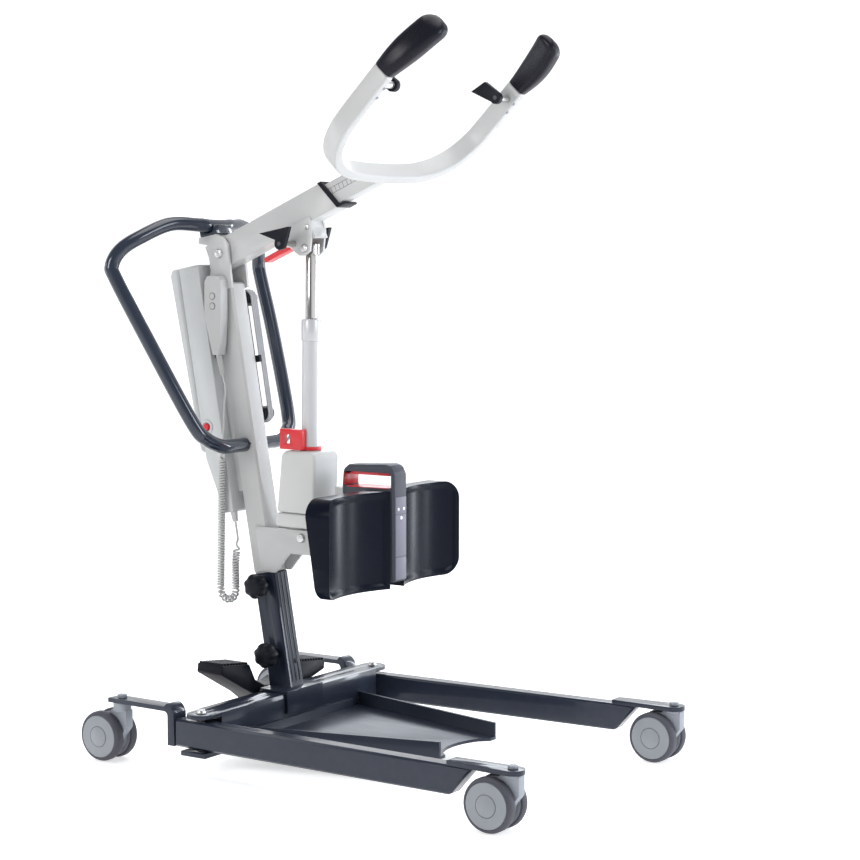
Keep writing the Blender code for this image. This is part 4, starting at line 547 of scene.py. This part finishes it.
# Telescopic tube and U-shaped arm.
# Grey-coated steel: the tube has a printed scale, and the arm is a flat tube bent to a U on edge, with
# black sling hooks bolted to posts inside it and two screws under each end.
soften("inner_tube", light_grey, "arm", 0.0015)
ink = Finish("scale_ink")
ink.colour(ink.tint(ink.noise(300.0), (0.05, 0.05, 0.06), (0.10, 0.10, 0.11)))
TUBE_FACE, SCALE_WIDTH, SCALE_LENGTH, MARK_COUNT, MARK_STEP = 0.01501, 0.012, 0.122, 13, 0.010
for side, sign in (("right", -1), ("left", 1)):
    first_mark = BOOM_PLACE @ Matrix.Translation((0.262, sign * TUBE_FACE, SCALE_WIDTH / 2))
    marks = rows_of("scale_marks_" + side, first_mark, MARK_COUNT, (MARK_STEP, 0, 0),
                    (0.0009, 0.0002, SCALE_WIDTH), ink.material)
    piece("scale_marks_" + side, marks, ink.material, "arm")
    first_rail = BOOM_PLACE @ Matrix.Translation((0.322, sign * TUBE_FACE, 0.0))
    rails = rows_of("scale_rails_" + side, first_rail, 2, (0, 0, SCALE_WIDTH), (SCALE_LENGTH, 0.0002, 0.0008),
                    ink.material)
    piece("scale_rails_" + side, rails, ink.material, "arm")
ARM_RISE = math.radians(45)
ARM_PLACE = Matrix.Translation(BOOM_PLACE @ Vector((0.409, 0, -0.0278))) @ Matrix.Rotation(-ARM_RISE, 4, "Y")


def flat_plate(name, outline, low, high, bevel, segments):
    """An outline in the XY plane made solid between two heights, with rounded edges."""
    work = bmesh.new()
    base = [work.verts.new((x, y, low)) for x, y in outline]
    face = work.faces.new(base)
    lifted = bmesh.ops.extrude_face_region(work, geom=[face])["geom"]
    raised = [vertex for vertex in lifted if isinstance(vertex, bmesh.types.BMVert)]
    bmesh.ops.translate(work, verts=raised, vec=(0, 0, high - low))
    bmesh.ops.recalc_face_normals(work, faces=work.faces)
    mesh = bpy.data.meshes.new(name)
    work.to_mesh(mesh)
    work.free()
    return rounded(mesh, bevel, segments)


ARM_HALF, ARM_WALL, ARM_HEIGHT = 0.2325, 0.020, 0.040
half_u = [(0.010, 0.0), (0.0115, 0.060), (0.017, 0.120), (0.033, 0.168), (0.062, 0.205), (0.100, 0.2255),
          (0.145, ARM_HALF), (0.255, ARM_HALF)]
run = smooth_path([(s, y, 0) for s, y in half_u], 8)
line = [Vector((p.x, -p.y)) for p in reversed(run[1:])] + [Vector((p.x, p.y)) for p in run]
outer, inner = [], []
for index, point in enumerate(line):
    along = (line[min(index + 1, len(line) - 1)] - line[max(index - 1, 0)]).normalized()
    aside = Vector((-along.y, along.x)) * (ARM_WALL / 2)
    outer.append(point + aside)
    inner.append(point - aside)
u_mesh = flat_plate("u_arm_tube", outer + inner[::-1], 0.0, ARM_HEIGHT, 0.0042, 4)
u_mesh.transform(ARM_PLACE)
piece("u_arm_tube", u_mesh, light_grey, "arm", ("u_arm",))
ARM_HOOK_S, ARM_HOOK_Z, ARM_HOOK_FACE, ARM_POST_END = 0.227, 0.016, 0.1742, 0.1868
ARM_SCREW, ARM_SCREW_STEP, ARM_SCREW_LINE = (0.0062, 0.0062, 0.0020), 0.022, 0.227
for side, sign in (("left", 1), ("right", -1)):
    hub = ARM_PLACE @ Vector((ARM_HOOK_S, sign * ARM_HOOK_FACE, ARM_HOOK_Z))
    strap_hook("sling_hook_" + side, "arm", 3, hub, -sign, ARM_POST_END, ARM_HALF)
    first_screw = ARM_PLACE @ Matrix.Translation((0.206, sign * ARM_SCREW_LINE, -0.0006))
    fitted_row("arm_screws_" + side, first_screw, 2, (ARM_SCREW_STEP, 0, 0), ARM_SCREW, hood_nylon.material,
               "arm", sides=18)

# Hand grips.
# Soft black rubber moulded over the arm's ends: swollen in the middle, flatter across, and turned in at
# the tip.
soft_black = Finish("grip_rubber", specular_ior_level=0.2)
knit = soft_black.pits(700.0)
soft_black.colour(soft_black.tint(soft_black.noise(22.0, 4.0), (0.006, 0.006, 0.011), (0.011, 0.011, 0.018)))
soft_black.roughness(0.20 + knit * 0.16)
soft_black.relief(knit, 0.0002, 0.3)
GRIP_START, GRIP_LENGTH, GRIP_RADIUS, GRIP_SLIM = 0.2553, 0.132, 0.028, 0.74
GRIP_TURN_IN, GRIP_DROP, GRIP_SQUARE, GRIP_TIP = 0.036, 0.009, 0.66, 0.82
for side, sign in (("left", 1), ("right", -1)):
    work = bmesh.new()
    steps, round_steps = 44, 52
    loops = []
    for step in range(steps + 1):
        t = step / steps
        swell = GRIP_RADIUS * (0.72 + 0.28 * math.sin(math.pi / 2 * min(1.0, t / 0.6)))
        if t > GRIP_TIP:
            swell *= math.sqrt(max(0.0, 1 - ((t - GRIP_TIP) / (1 - GRIP_TIP)) ** 2.4)) * 0.95 + 0.05
        loop = []
        for turn in range(round_steps):
            angle = math.tau * turn / round_steps
            across = math.copysign(abs(math.cos(angle)) ** GRIP_SQUARE, math.cos(angle)) * swell * GRIP_SLIM
            up = math.copysign(abs(math.sin(angle)) ** GRIP_SQUARE, math.sin(angle)) * swell
            x = GRIP_START + GRIP_LENGTH * t
            y = sign * ARM_HALF + across - sign * GRIP_TURN_IN * t * t
            z = ARM_HEIGHT / 2 + up - GRIP_DROP * t * (2 - t)
            loop.append(work.verts.new((x, y, z)))
        loops.append(loop)
    for first, second in zip(loops, loops[1:]):
        for turn in range(round_steps):
            after = (turn + 1) % round_steps
            work.faces.new((first[turn], first[after], second[after], second[turn]))
    work.faces.new(loops[0])
    work.faces.new(loops[-1])
    bmesh.ops.recalc_face_normals(work, faces=work.faces)
    work.transform(ARM_PLACE)
    mesh = bpy.data.meshes.new("grip_%s_moulding" % side)
    work.to_mesh(mesh)
    work.free()
    mesh.shade_smooth()
    mesh.set_sharp_from_angle(angle=math.radians(60))
    piece("grip_%s_moulding" % side, mesh, soft_black.material, "arm", ("grip_" + side,))

# Linear actuator.
# White moulded motor housing in two halves, an aluminium guide tube with a collar, a chromed rod with
# a slotted head, and a red hand release on the tube.
white = Finish("white_plastic")
fine = white.pits(1500.0)
white.colour(white.tint(white.noise(16.0, 3.0), (0.54, 0.54, 0.53), (0.59, 0.59, 0.58)))
white.roughness(0.38 + fine * 0.15)
white.relief(fine, 0.00009, 0.3)
ACTUATOR_FOOT = MAST_PLACE @ Vector((0.1145, 0, 0.3004))
CLEVIS = BOOM_PLACE @ Vector((0.2017, 0, -0.075))
TILT = math.atan2(CLEVIS.x - ACTUATOR_FOOT.x, CLEVIS.z - ACTUATOR_FOOT.z)
ACTUATOR_PLACE = Matrix.Translation(ACTUATOR_FOOT) @ Matrix.Rotation(TILT, 4, "Y")
ON_EDGE = Matrix(((1, 0, 0, 0), (0, 0, -1, 0), (0, 1, 0, 0), (0, 0, 0, 1)))
lower_half = [(-0.057, 0.021), (0.038, 0.021), (0.0385, 0.0495), (-0.0545, 0.0495)]
upper_half = [(-0.0545, 0.0503), (0.0385, 0.0503), (0.041, 0.166), (0.033, 0.176), (-0.036, 0.176),
              (-0.044, 0.166)]
foot_lug = [(-0.014, -0.016), (0.014, -0.016), (0.018, -0.008), (0.018, 0.026), (-0.018, 0.026),
            (-0.018, -0.008)]
shells = []
MOTOR_HALF, LUG_HALF = 0.0415, 0.015
for name, outline, aside, bevel in (("lower", lower_half, MOTOR_HALF, 0.005),
                                    ("upper", upper_half, MOTOR_HALF, 0.009),
                                    ("lug", foot_lug, LUG_HALF, 0.002)):
    shell = flat_plate("motor_" + name, outline, -aside, aside, bevel, 4)
    shell.transform(ACTUATOR_PLACE @ ON_EDGE)
    shells.append(shell)
joined = bmesh.new()
for shell in shells:
    joined.from_mesh(shell)
housing = bpy.data.meshes.new("motor_housing")
joined.to_mesh(housing)
joined.free()
piece("motor_housing", housing, white.material, "actuator", ("actuator_housing",))
aluminium = Finish("satin_aluminium", metallic=0.35)
drawn_tube = aluminium.noise(700.0, 2.0, (1, 1, 0.04))
aluminium.colour(aluminium.tint(drawn_tube, (0.52, 0.52, 0.53), (0.60, 0.60, 0.61)))
aluminium.roughness(0.30 + drawn_tube * 0.12)
TUBE_BORE, TUBE_RADIUS, COLLAR_RADIUS, TUBE_FOOT, TUBE_END = 0.0123, 0.018, 0.020, 0.1763, 0.441
guide_profile = [(TUBE_BORE, TUBE_FOOT), (TUBE_RADIUS, TUBE_FOOT), (TUBE_RADIUS, 0.396), (0.0195, 0.3975),
                 (COLLAR_RADIUS, 0.399), (COLLAR_RADIUS, 0.437), (0.0185, 0.4405), (0.0165, TUBE_END),
                 (TUBE_BORE, TUBE_END)]
guide = spun(guide_profile, (0, 0, 0), Matrix.Identity(4))
guide.transform(ACTUATOR_PLACE)
piece("guide_tube", guide, aluminium.material, "actuator", ("actuator_tube",))
chrome = Finish("hard_chrome", metallic=1.0)
lap = chrome.noise(900.0, 2.0, (1, 1, 0.05))
chrome.colour(chrome.tint(lap, (0.36, 0.35, 0.345), (0.46, 0.45, 0.445)))
chrome.roughness(0.09 + lap * 0.08)
soften("actuator_rod", chrome.material, "rod", 0.0008)
soften("emergency_release", red.material, "release", 0.0012)

# Knee support.
# Dark grey moulded spine, faced with screwed grey strips, its carrying handle lined in red over a red
# trigger, and two pads with a hollow front and a full rim, moulded in satin integral-skin foam.
knee_grey = Finish("knee_grey_plastic", specular_ior_level=0.36)
mould = knee_grey.pits(1200.0)
knee_grey.colour(knee_grey.tint(knee_grey.noise(18.0, 3.0), (0.038, 0.041, 0.056), (0.052, 0.056, 0.075)))
knee_grey.roughness(0.40 + mould * 0.2)
knee_grey.relief(mould, 0.00012, 0.35)
soften("knee_spine", knee_grey.material, "knee", 0.003, 3)
soften("knee_trigger", red.material, "trigger", 0.0012)
strip_grey = Finish("strip_grey_plastic")
strip_mould = strip_grey.pits(1200.0)
strip_grey.colour(strip_grey.tint(strip_grey.noise(18.0, 3.0), (0.125, 0.122, 0.165), (0.155, 0.152, 0.200)))
strip_grey.roughness(0.36 + strip_mould * 0.2)
strip_grey.relief(strip_mould, 0.00012, 0.35)
STRIP_FRONT, STRIP_WIDTH, STRIP_WALL, STRIP_EDGE = 0.0484, 0.037, 0.0014, 0.0005
for name, low, high in (("low", 0.3695, 0.4142), ("middle", 0.4150, 0.4983), ("high", 0.4991, 0.5325)):
    fitted_row("spine_strip_" + name, Matrix.Translation((STRIP_FRONT, 0, (low + high) / 2)), 1, ALONE,
               (STRIP_WALL, STRIP_WIDTH, high - low), strip_grey.material, "knee", STRIP_EDGE)
SPINE_SCREW, SPINE_SCREW_STEP = (0.0066, 0.0066, 0.0014), 0.018
for name, count, place in (("pair", 2, (0.0494, -0.009, 0.509)), ("single", 1, (0.0494, 0, 0.4915))):
    fitted_row("spine_screws_" + name, Matrix.Translation(place) @ FORWARD, count, (0, SPINE_SCREW_STEP, 0),
               SPINE_SCREW, zinc.material, "knee", sides=20)
for name, place, size in (("floor", (-0.015, 0, 0.5499), (0.102, 0.0465, 0.0014)),
                          ("rear", (-0.0702, 0, 0.5640), (0.0014, 0.0465, 0.0240))):
    fitted_row("hole_lining_" + name, Matrix.Translation(place), 1, ALONE, size, red.material, "knee")
skin = Finish("integral_skin_foam", specular_ior_level=0.08)
pebble = skin.pits(850.0)
skin.colour(skin.tint(skin.noise(12.0, 4.0), (0.003, 0.0045, 0.010), (0.006, 0.0085, 0.017)))
skin.roughness(0.17 + pebble * 0.12)
skin.relief(pebble, 0.00012, 0.3)
PAD_INNER, PAD_OUTER, PAD_LOW, PAD_HIGH, PAD_CORNER = 0.0238, 0.2265, 0.352, 0.545, 0.034
PAD_FRONT, PAD_DEPTH, PAD_HOLLOW, PAD_TAPER = 0.040, 0.056, 0.026, 0.020
RIM_WIDTH, RIM_SLOPE, RIM_STEP = 0.0075, 0.005, 0.0026
for side, sign in (("left", 1), ("right", -1)):
    work = bmesh.new()
    bmesh.ops.create_grid(work, x_segments=84, y_segments=60, size=0.5)
    lifted = bmesh.ops.extrude_face_region(work, geom=work.faces[:])["geom"]
    front = {vertex for vertex in lifted if isinstance(vertex, bmesh.types.BMVert)}
    for vertex in work.verts:
        across = 1.0 - (0.5 - vertex.co.x) ** 1.5
        up = vertex.co.y + 0.5
        y = PAD_INNER + (PAD_OUTER - PAD_INNER) * across
        over = max(0.0, y - PAD_OUTER + PAD_CORNER)
        drop = PAD_CORNER - math.sqrt(max(0.0, PAD_CORNER**2 - over**2))
        z = PAD_LOW + drop + (PAD_HIGH - PAD_LOW - 2 * drop) * up
        if vertex in front:
            edge = min(y - PAD_INNER, PAD_OUTER - y, z - PAD_LOW - drop, PAD_HIGH - drop - z)
            step = min(1.0, max(0.0, (edge - RIM_WIDTH) / RIM_SLOPE))
            hollow = PAD_HOLLOW * math.sin(math.pi * across) ** 0.8
            x = PAD_FRONT - hollow - RIM_STEP * step * step * (3 - 2 * step)
        else:
            x = PAD_FRONT - PAD_DEPTH + PAD_TAPER * (1.0 - up)
        vertex.co = (x, sign * y, z)
    bmesh.ops.recalc_face_normals(work, faces=work.faces)
    mesh = bpy.data.meshes.new("pad_" + side)
    work.to_mesh(mesh)
    work.free()
    pad = piece("knee_pad_%s_foam" % side, rounded(mesh, 0.005, 4), skin.material, "knee",
                ("knee_pad_" + side,))

# Control box, battery and stop button.
# Light grey moulded cases held on the back of the mast by two dark brackets; the battery slides up off
# the box, and a red stop button sits in a ring on its near side.
case = Finish("case_plastic")
stipple = case.pits(1300.0)
case.colour(case.tint(case.noise(15.0, 3.0), (0.50, 0.51, 0.51), (0.57, 0.58, 0.58)))
case.roughness(0.42 + stipple * 0.16)
case.relief(stipple, 0.0001, 0.35)
soften("control_box", case.material, "mast", 0.0018, 3)
soften("battery_pack", case.material, "battery", 0.0018, 3)
soften("emergency_stop", red.material, "stop", 0.001, 3)
BOX_BRACKET = (0.0094, 0.014, 0.150)
for side, sign in (("left", 1), ("right", -1)):
    bracket = MAST_PLACE @ Matrix.Translation((-0.0314, sign * 0.0265, 0.765))
    fitted_row("box_bracket_" + side, bracket, 1, ALONE, BOX_BRACKET, knee_grey.material, "mast",
               0.0008)
RING_PROFILE = [(0.0098, 0.0004), (0.0098, 0.0018), (0.0130, 0.0024), (0.0150, 0.0014), (0.0152, 0.0004)]
stop_ring = spun(RING_PROFILE, MAST_PLACE @ Vector((-0.074, -0.045, 0.5527)), ACROSS, 48)
piece("stop_ring", stop_ring, case.material, "mast")

# Hand control.
# Slim grey moulded case hung on the near side of the mast, with two ringed keys and a tapered, ribbed
# strain relief.
hand_case = Finish("hand_case_plastic")
satin = hand_case.pits(1300.0)
hand_case.colour(hand_case.tint(hand_case.noise(15.0, 3.0), (0.42, 0.42, 0.415), (0.47, 0.47, 0.465)))
hand_case.roughness(0.38 + satin * 0.16)
hand_case.relief(satin, 0.0001, 0.35)
soften("handset", hand_case.material, "mast", 0.0035, 4)
handset_top = MAST_PLACE @ Vector((0.0024, 0, 0.8543))
relief_start = handset_top + Vector((0.007, -0.04075, -0.161))
relief_along = Vector((0.0095, 0, -0.042)).normalized()
relief_turn = Vector((0, 0, 1)).rotation_difference(relief_along).to_matrix().to_4x4()
RELIEF_RIBS, RELIEF_STEP, RELIEF_LENGTH = 7, 0.0052, 0.0423
for step in range(RELIEF_RIBS):
    wide = 0.0068 - 0.00033 * step
    profile = [(wide - 0.0018, -0.0011), (wide, -0.0011), (wide + 0.0003, 0), (wide, 0.0011),
               (wide - 0.0018, 0.0011)]
    ring = spun(profile, relief_start + relief_along * (0.004 + RELIEF_STEP * step), relief_turn, 28)
    piece("relief_rib_%d" % step, ring, hand_case.material, "mast")
KEY_RING = [(0.0066, 0.0), (0.0074, 0.0), (0.0074, 0.00025), (0.0066, 0.00025)]
for name, drop in (("up", 0.041), ("down", 0.061)):
    ring = spun(KEY_RING, handset_top + Vector((0, -0.0520, -drop)), ACROSS, 40)
    piece("key_ring_" + name, ring, ink.material, "mast")
for name in ("up", "down"):
    soften("handset_key_" + name, hand_case.material, "key_" + name, 0.0006, 3)

# Curly cord.
# Light grey sheathed lead, straight below the hand control and then curled in a hanging loop up to the
# gland under the control box.
sheath = Finish("cord_sheath")
drawn = sheath.noise(500.0, 2.0)
sheath.colour(sheath.tint(sheath.noise(30.0, 3.0), (0.46, 0.46, 0.45), (0.54, 0.54, 0.53)))
sheath.roughness(0.44 + drawn * 0.16)
sheath.relief(drawn, 0.00008, 0.3)
CORD_DIAMETER, LEAD_DROP, LOOP_DROP, LOOP_BEND, HANG_Y = 0.0045, 0.149, 0.158, 0.0195, -0.0555
relief_end = relief_start + relief_along * RELIEF_LENGTH
gland_end = MAST_PLACE @ Vector((-0.045, -0.033, 0.3517))
down = (MAST_TURN @ Vector((0, 0, -1))).normalized()
start = Vector((relief_end.x + 0.0095, HANG_Y, relief_end.z - LEAD_DROP))
lead = [relief_end, relief_end + relief_along * 0.006, relief_end + relief_along * 0.030,
        relief_end.lerp(start, 0.46) + Vector((0.004, 0, 0)),
        relief_end.lerp(start, 0.77) + Vector((0.003, 0, 0)), start]
middle = Vector((gland_end.x - 0.002, HANG_Y, gland_end.z - LOOP_DROP + LOOP_BEND))
near = middle + Vector((-LOOP_BEND, 0, 0.018))
hang = [start, start.lerp(near, 0.19), start.lerp(near, 0.52), start.lerp(near, 0.82), near]
hang += [middle + Vector((LOOP_BEND * math.cos(turn), 0, LOOP_BEND * math.sin(turn)))
         for turn in (math.pi, 1.25 * math.pi, 1.5 * math.pi, 1.75 * math.pi, math.tau)]
hang += [middle + Vector((LOOP_BEND, 0, 0.018)), middle + Vector((LOOP_BEND - 0.002, 0.003, 0.062)),
         gland_end.lerp(middle, 0.26) + Vector((LOOP_BEND - 0.010, 0.002, 0))]
tail = [hang[-1], gland_end + down * 0.030, gland_end + down * 0.006, gland_end]
axis_line = smooth_path(hang, 24)
reach = [0.0]
for here, there in zip(axis_line, axis_line[1:]):
    reach.append(reach[-1] + (there - here).length)
END_PITCH, STRAND_PITCH, BEND_PITCH = 0.024, 0.0054, 0.0079
turns = [0.0]
for there, begun, ended in zip(axis_line[1:], reach, reach[1:]):
    first_or_last = min(ended, reach[-1] - begun) < END_PITCH
    in_strand = there.z > middle.z + 0.006
    curl_pitch = END_PITCH if first_or_last else STRAND_PITCH if in_strand else BEND_PITCH
    turns.append(turns[-1] + (ended - begun) / curl_pitch)
CURL_POINTS, CURL_RADIUS = 16, 0.006
count = int(turns[-1]) * CURL_POINTS
spiral = []
span = 0
for step in range(1, count):
    place = turns[-1] * step / count
    while turns[span + 1] < place:
        span += 1
    share = (place - turns[span]) / (turns[span + 1] - turns[span])
    centre = axis_line[span].lerp(axis_line[span + 1], share)
    along = (axis_line[span + 1] - axis_line[span]).normalized()
    aside = (Vector((0, 1, 0)) - along * along.y).normalized()
    swell = CURL_RADIUS * min(1.0, step / CURL_POINTS, (count - step) / CURL_POINTS)
    angle = math.tau * place
    spiral.append(centre + aside * swell * math.cos(angle) + along.cross(aside) * swell * math.sin(angle))
cord_line = smooth_path(lead, 6)[:-1] + spiral + smooth_path(tail, 6)[1:]
cord_length = sum((b - a).length for a, b in zip(cord_line, cord_line[1:]))
cord_mesh = bent_tube("handset_cord_curls", cord_line, CORD_DIAMETER, 3)
cord = piece("handset_cord_curls", cord_mesh, sheath.material, "mast", ("handset_cord",))

# Charging lead and its hanger.
# Grey lead wound round two pegs of a black moulded hanger on the far side of the mast.
soften("cable_hanger", black.material, "mast", 0.0006)
peg_low, peg_high, wrap, wound_turns, wound_pitch = 0.565, 0.804, 0.01785, 3.5, 0.0052
HANGER_X, HANGER_Y = 0.012, 0.030
strand = peg_high - peg_low
one_turn = 2 * strand + math.tau * wrap


def wound(turn):
    """A point of the winding, that many turns along it, in the mast's frame."""
    place = (turn % 1.0) * one_turn
    half_turn = math.pi * wrap
    if place < strand / 2:
        flat = (wrap, (peg_low + peg_high) / 2 + place)
    elif place < strand / 2 + half_turn:
        angle = (place - strand / 2) / wrap
        flat = (wrap * math.cos(angle), peg_high + wrap * math.sin(angle))
    elif place < strand * 1.5 + half_turn:
        flat = (-wrap, peg_high - (place - strand / 2 - half_turn))
    elif place < strand * 1.5 + 2 * half_turn:
        angle = (place - strand * 1.5 - half_turn) / wrap
        flat = (-wrap * math.cos(angle), peg_low - wrap * math.sin(angle))
    else:
        flat = (wrap, peg_low + place - strand * 1.5 - 2 * half_turn)
    return MAST_PLACE @ Vector((HANGER_X + flat[0], HANGER_Y + wound_pitch * turn, flat[1]))


lead_sheath = Finish("lead_sheath")
lead_drawn = lead_sheath.noise(500.0, 2.0)
lead_sheath.colour(lead_sheath.tint(lead_sheath.noise(30.0, 3.0), (0.36, 0.365, 0.38), (0.44, 0.445, 0.46)))
lead_sheath.roughness(0.40 + lead_drawn * 0.16)
lead_sheath.relief(lead_drawn, 0.00008, 0.3)
WOUND_POINTS = 340
wound_line = [wound(wound_turns * step / WOUND_POINTS) for step in range(WOUND_POINTS + 1)]
wound_mesh = bent_tube("charging_lead", wound_line, CORD_DIAMETER, 3)
wound_lead = piece("charging_lead", wound_mesh, lead_sheath.material, "mast",
                   ("charger_cable",))

# Studio.
# Plain white paper floor that sweeps up far behind the lift, soft boxes above, in front, behind and at
# the near side, three narrow lamps that streak the pads, and the camera at the photograph's angle.
VIEW_TURN, VIEW_DROP = math.radians(33.415), math.radians(4.678)
ahead = Vector((-math.sin(VIEW_TURN), math.cos(VIEW_TURN), 0))
across = Vector((ahead.y, -ahead.x, 0))
FLOOR_HALF, FLOOR_AHEAD, SWEEP, WALL = 120, 6.0, 3.0, 16.0
sweep = [(-FLOOR_HALF, 0.0), (FLOOR_AHEAD, 0.0)]
for step in range(1, 25):
    turn = math.pi / 2 * step / 24
    sweep.append((FLOOR_AHEAD + SWEEP * math.sin(turn), SWEEP - SWEEP * math.cos(turn)))
sweep.append((FLOOR_AHEAD + SWEEP, WALL))
corners = []
for depth, up in sweep:
    for wide in (-FLOOR_HALF, FLOOR_HALF):
        corners.append(ahead * depth + across * wide + Vector((0, 0, up)))
floor = bpy.data.meshes.new("floor")
rows = range(len(sweep) - 1)
floor.from_pydata(corners, [], [(2 * row, 2 * row + 1, 2 * row + 3, 2 * row + 2) for row in rows])
floor.shade_smooth()
ground = bpy.data.objects.new("floor", floor)
bpy.context.scene.collection.objects.link(ground)
paper = Finish("floor_paper", roughness=0.6, emission_color=(1, 1, 1, 1), emission_strength=0.56)
paper.colour(paper.tint(paper.noise(3.0, 2.0), (0.84, 0.84, 0.84), (0.86, 0.86, 0.86)))
floor.materials.append(paper.material)
ground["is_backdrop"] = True
bpy.context.scene.view_settings.view_transform = "Standard"
world = bpy.data.worlds.new("studio")
world.use_nodes = True
world.node_tree.nodes["Background"].inputs["Color"].default_value = (0.95, 0.97, 1.0, 1.0)
seen = world.node_tree.nodes.new("ShaderNodeLightPath")
strength = world.node_tree.nodes.new("ShaderNodeMapRange")
strength.inputs["To Min"].default_value = 0.36
strength.inputs["To Max"].default_value = 1.0
world.node_tree.links.new(seen.outputs["Is Camera Ray"], strength.inputs["Value"])
world.node_tree.links.new(strength.outputs["Result"], world.node_tree.nodes["Background"].inputs["Strength"])
bpy.context.scene.world = world
cool, plain = (0.86, 0.92, 1.0), (1.0, 1.0, 1.0)
LAMP_AIM = Vector((0, 0, 0.7))
for name, place, power, wide, tall, hue in (("overhead", (0.3, 0.2, 3.4), 46, 2.2, 2.2, plain),
                                            ("key", (3.6, 0.4, 1.9), 52, 1.4, 1.4, cool),
                                            ("fill", (-1.2, -3.6, 2.0), 40, 1.2, 1.2, plain),
                                            ("back", (-2.0, 3.2, 2.0), 34, 2.2, 1.2, cool),
                                            ("strip_far", (0.95, 2.80, 0.9), 20, 0.22, 1.8, cool),
                                            ("strip_front", (2.25, 2.30, 0.9), 20, 0.22, 1.8, cool),
                                            ("strip_side", (-2.7, -1.4, 0.9), 8, 0.30, 1.6, cool)):
    lamp = bpy.data.lights.new(name, "AREA")
    lamp.energy = power
    lamp.color = hue
    lamp.shape = "RECTANGLE"
    lamp.size = wide
    lamp.size_y = tall
    light = bpy.data.objects.new(name, lamp)
    light.location = place
    light.visible_camera = False
    light.rotation_euler = (LAMP_AIM - Vector(place)).to_track_quat("-Z", "Y").to_euler()
    bpy.context.scene.collection.objects.link(light)
lens = bpy.data.cameras.new("camera")
lens.lens = 87.05
lens.sensor_width = 36.0
camera = bpy.data.objects.new("camera", lens)
camera.location = (2.3316, -3.3562, 0.9967)
camera.rotation_euler = (math.pi / 2 - VIEW_DROP, 0, VIEW_TURN)
bpy.context.scene.collection.objects.link(camera)
bpy.context.scene.camera = camera

low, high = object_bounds()
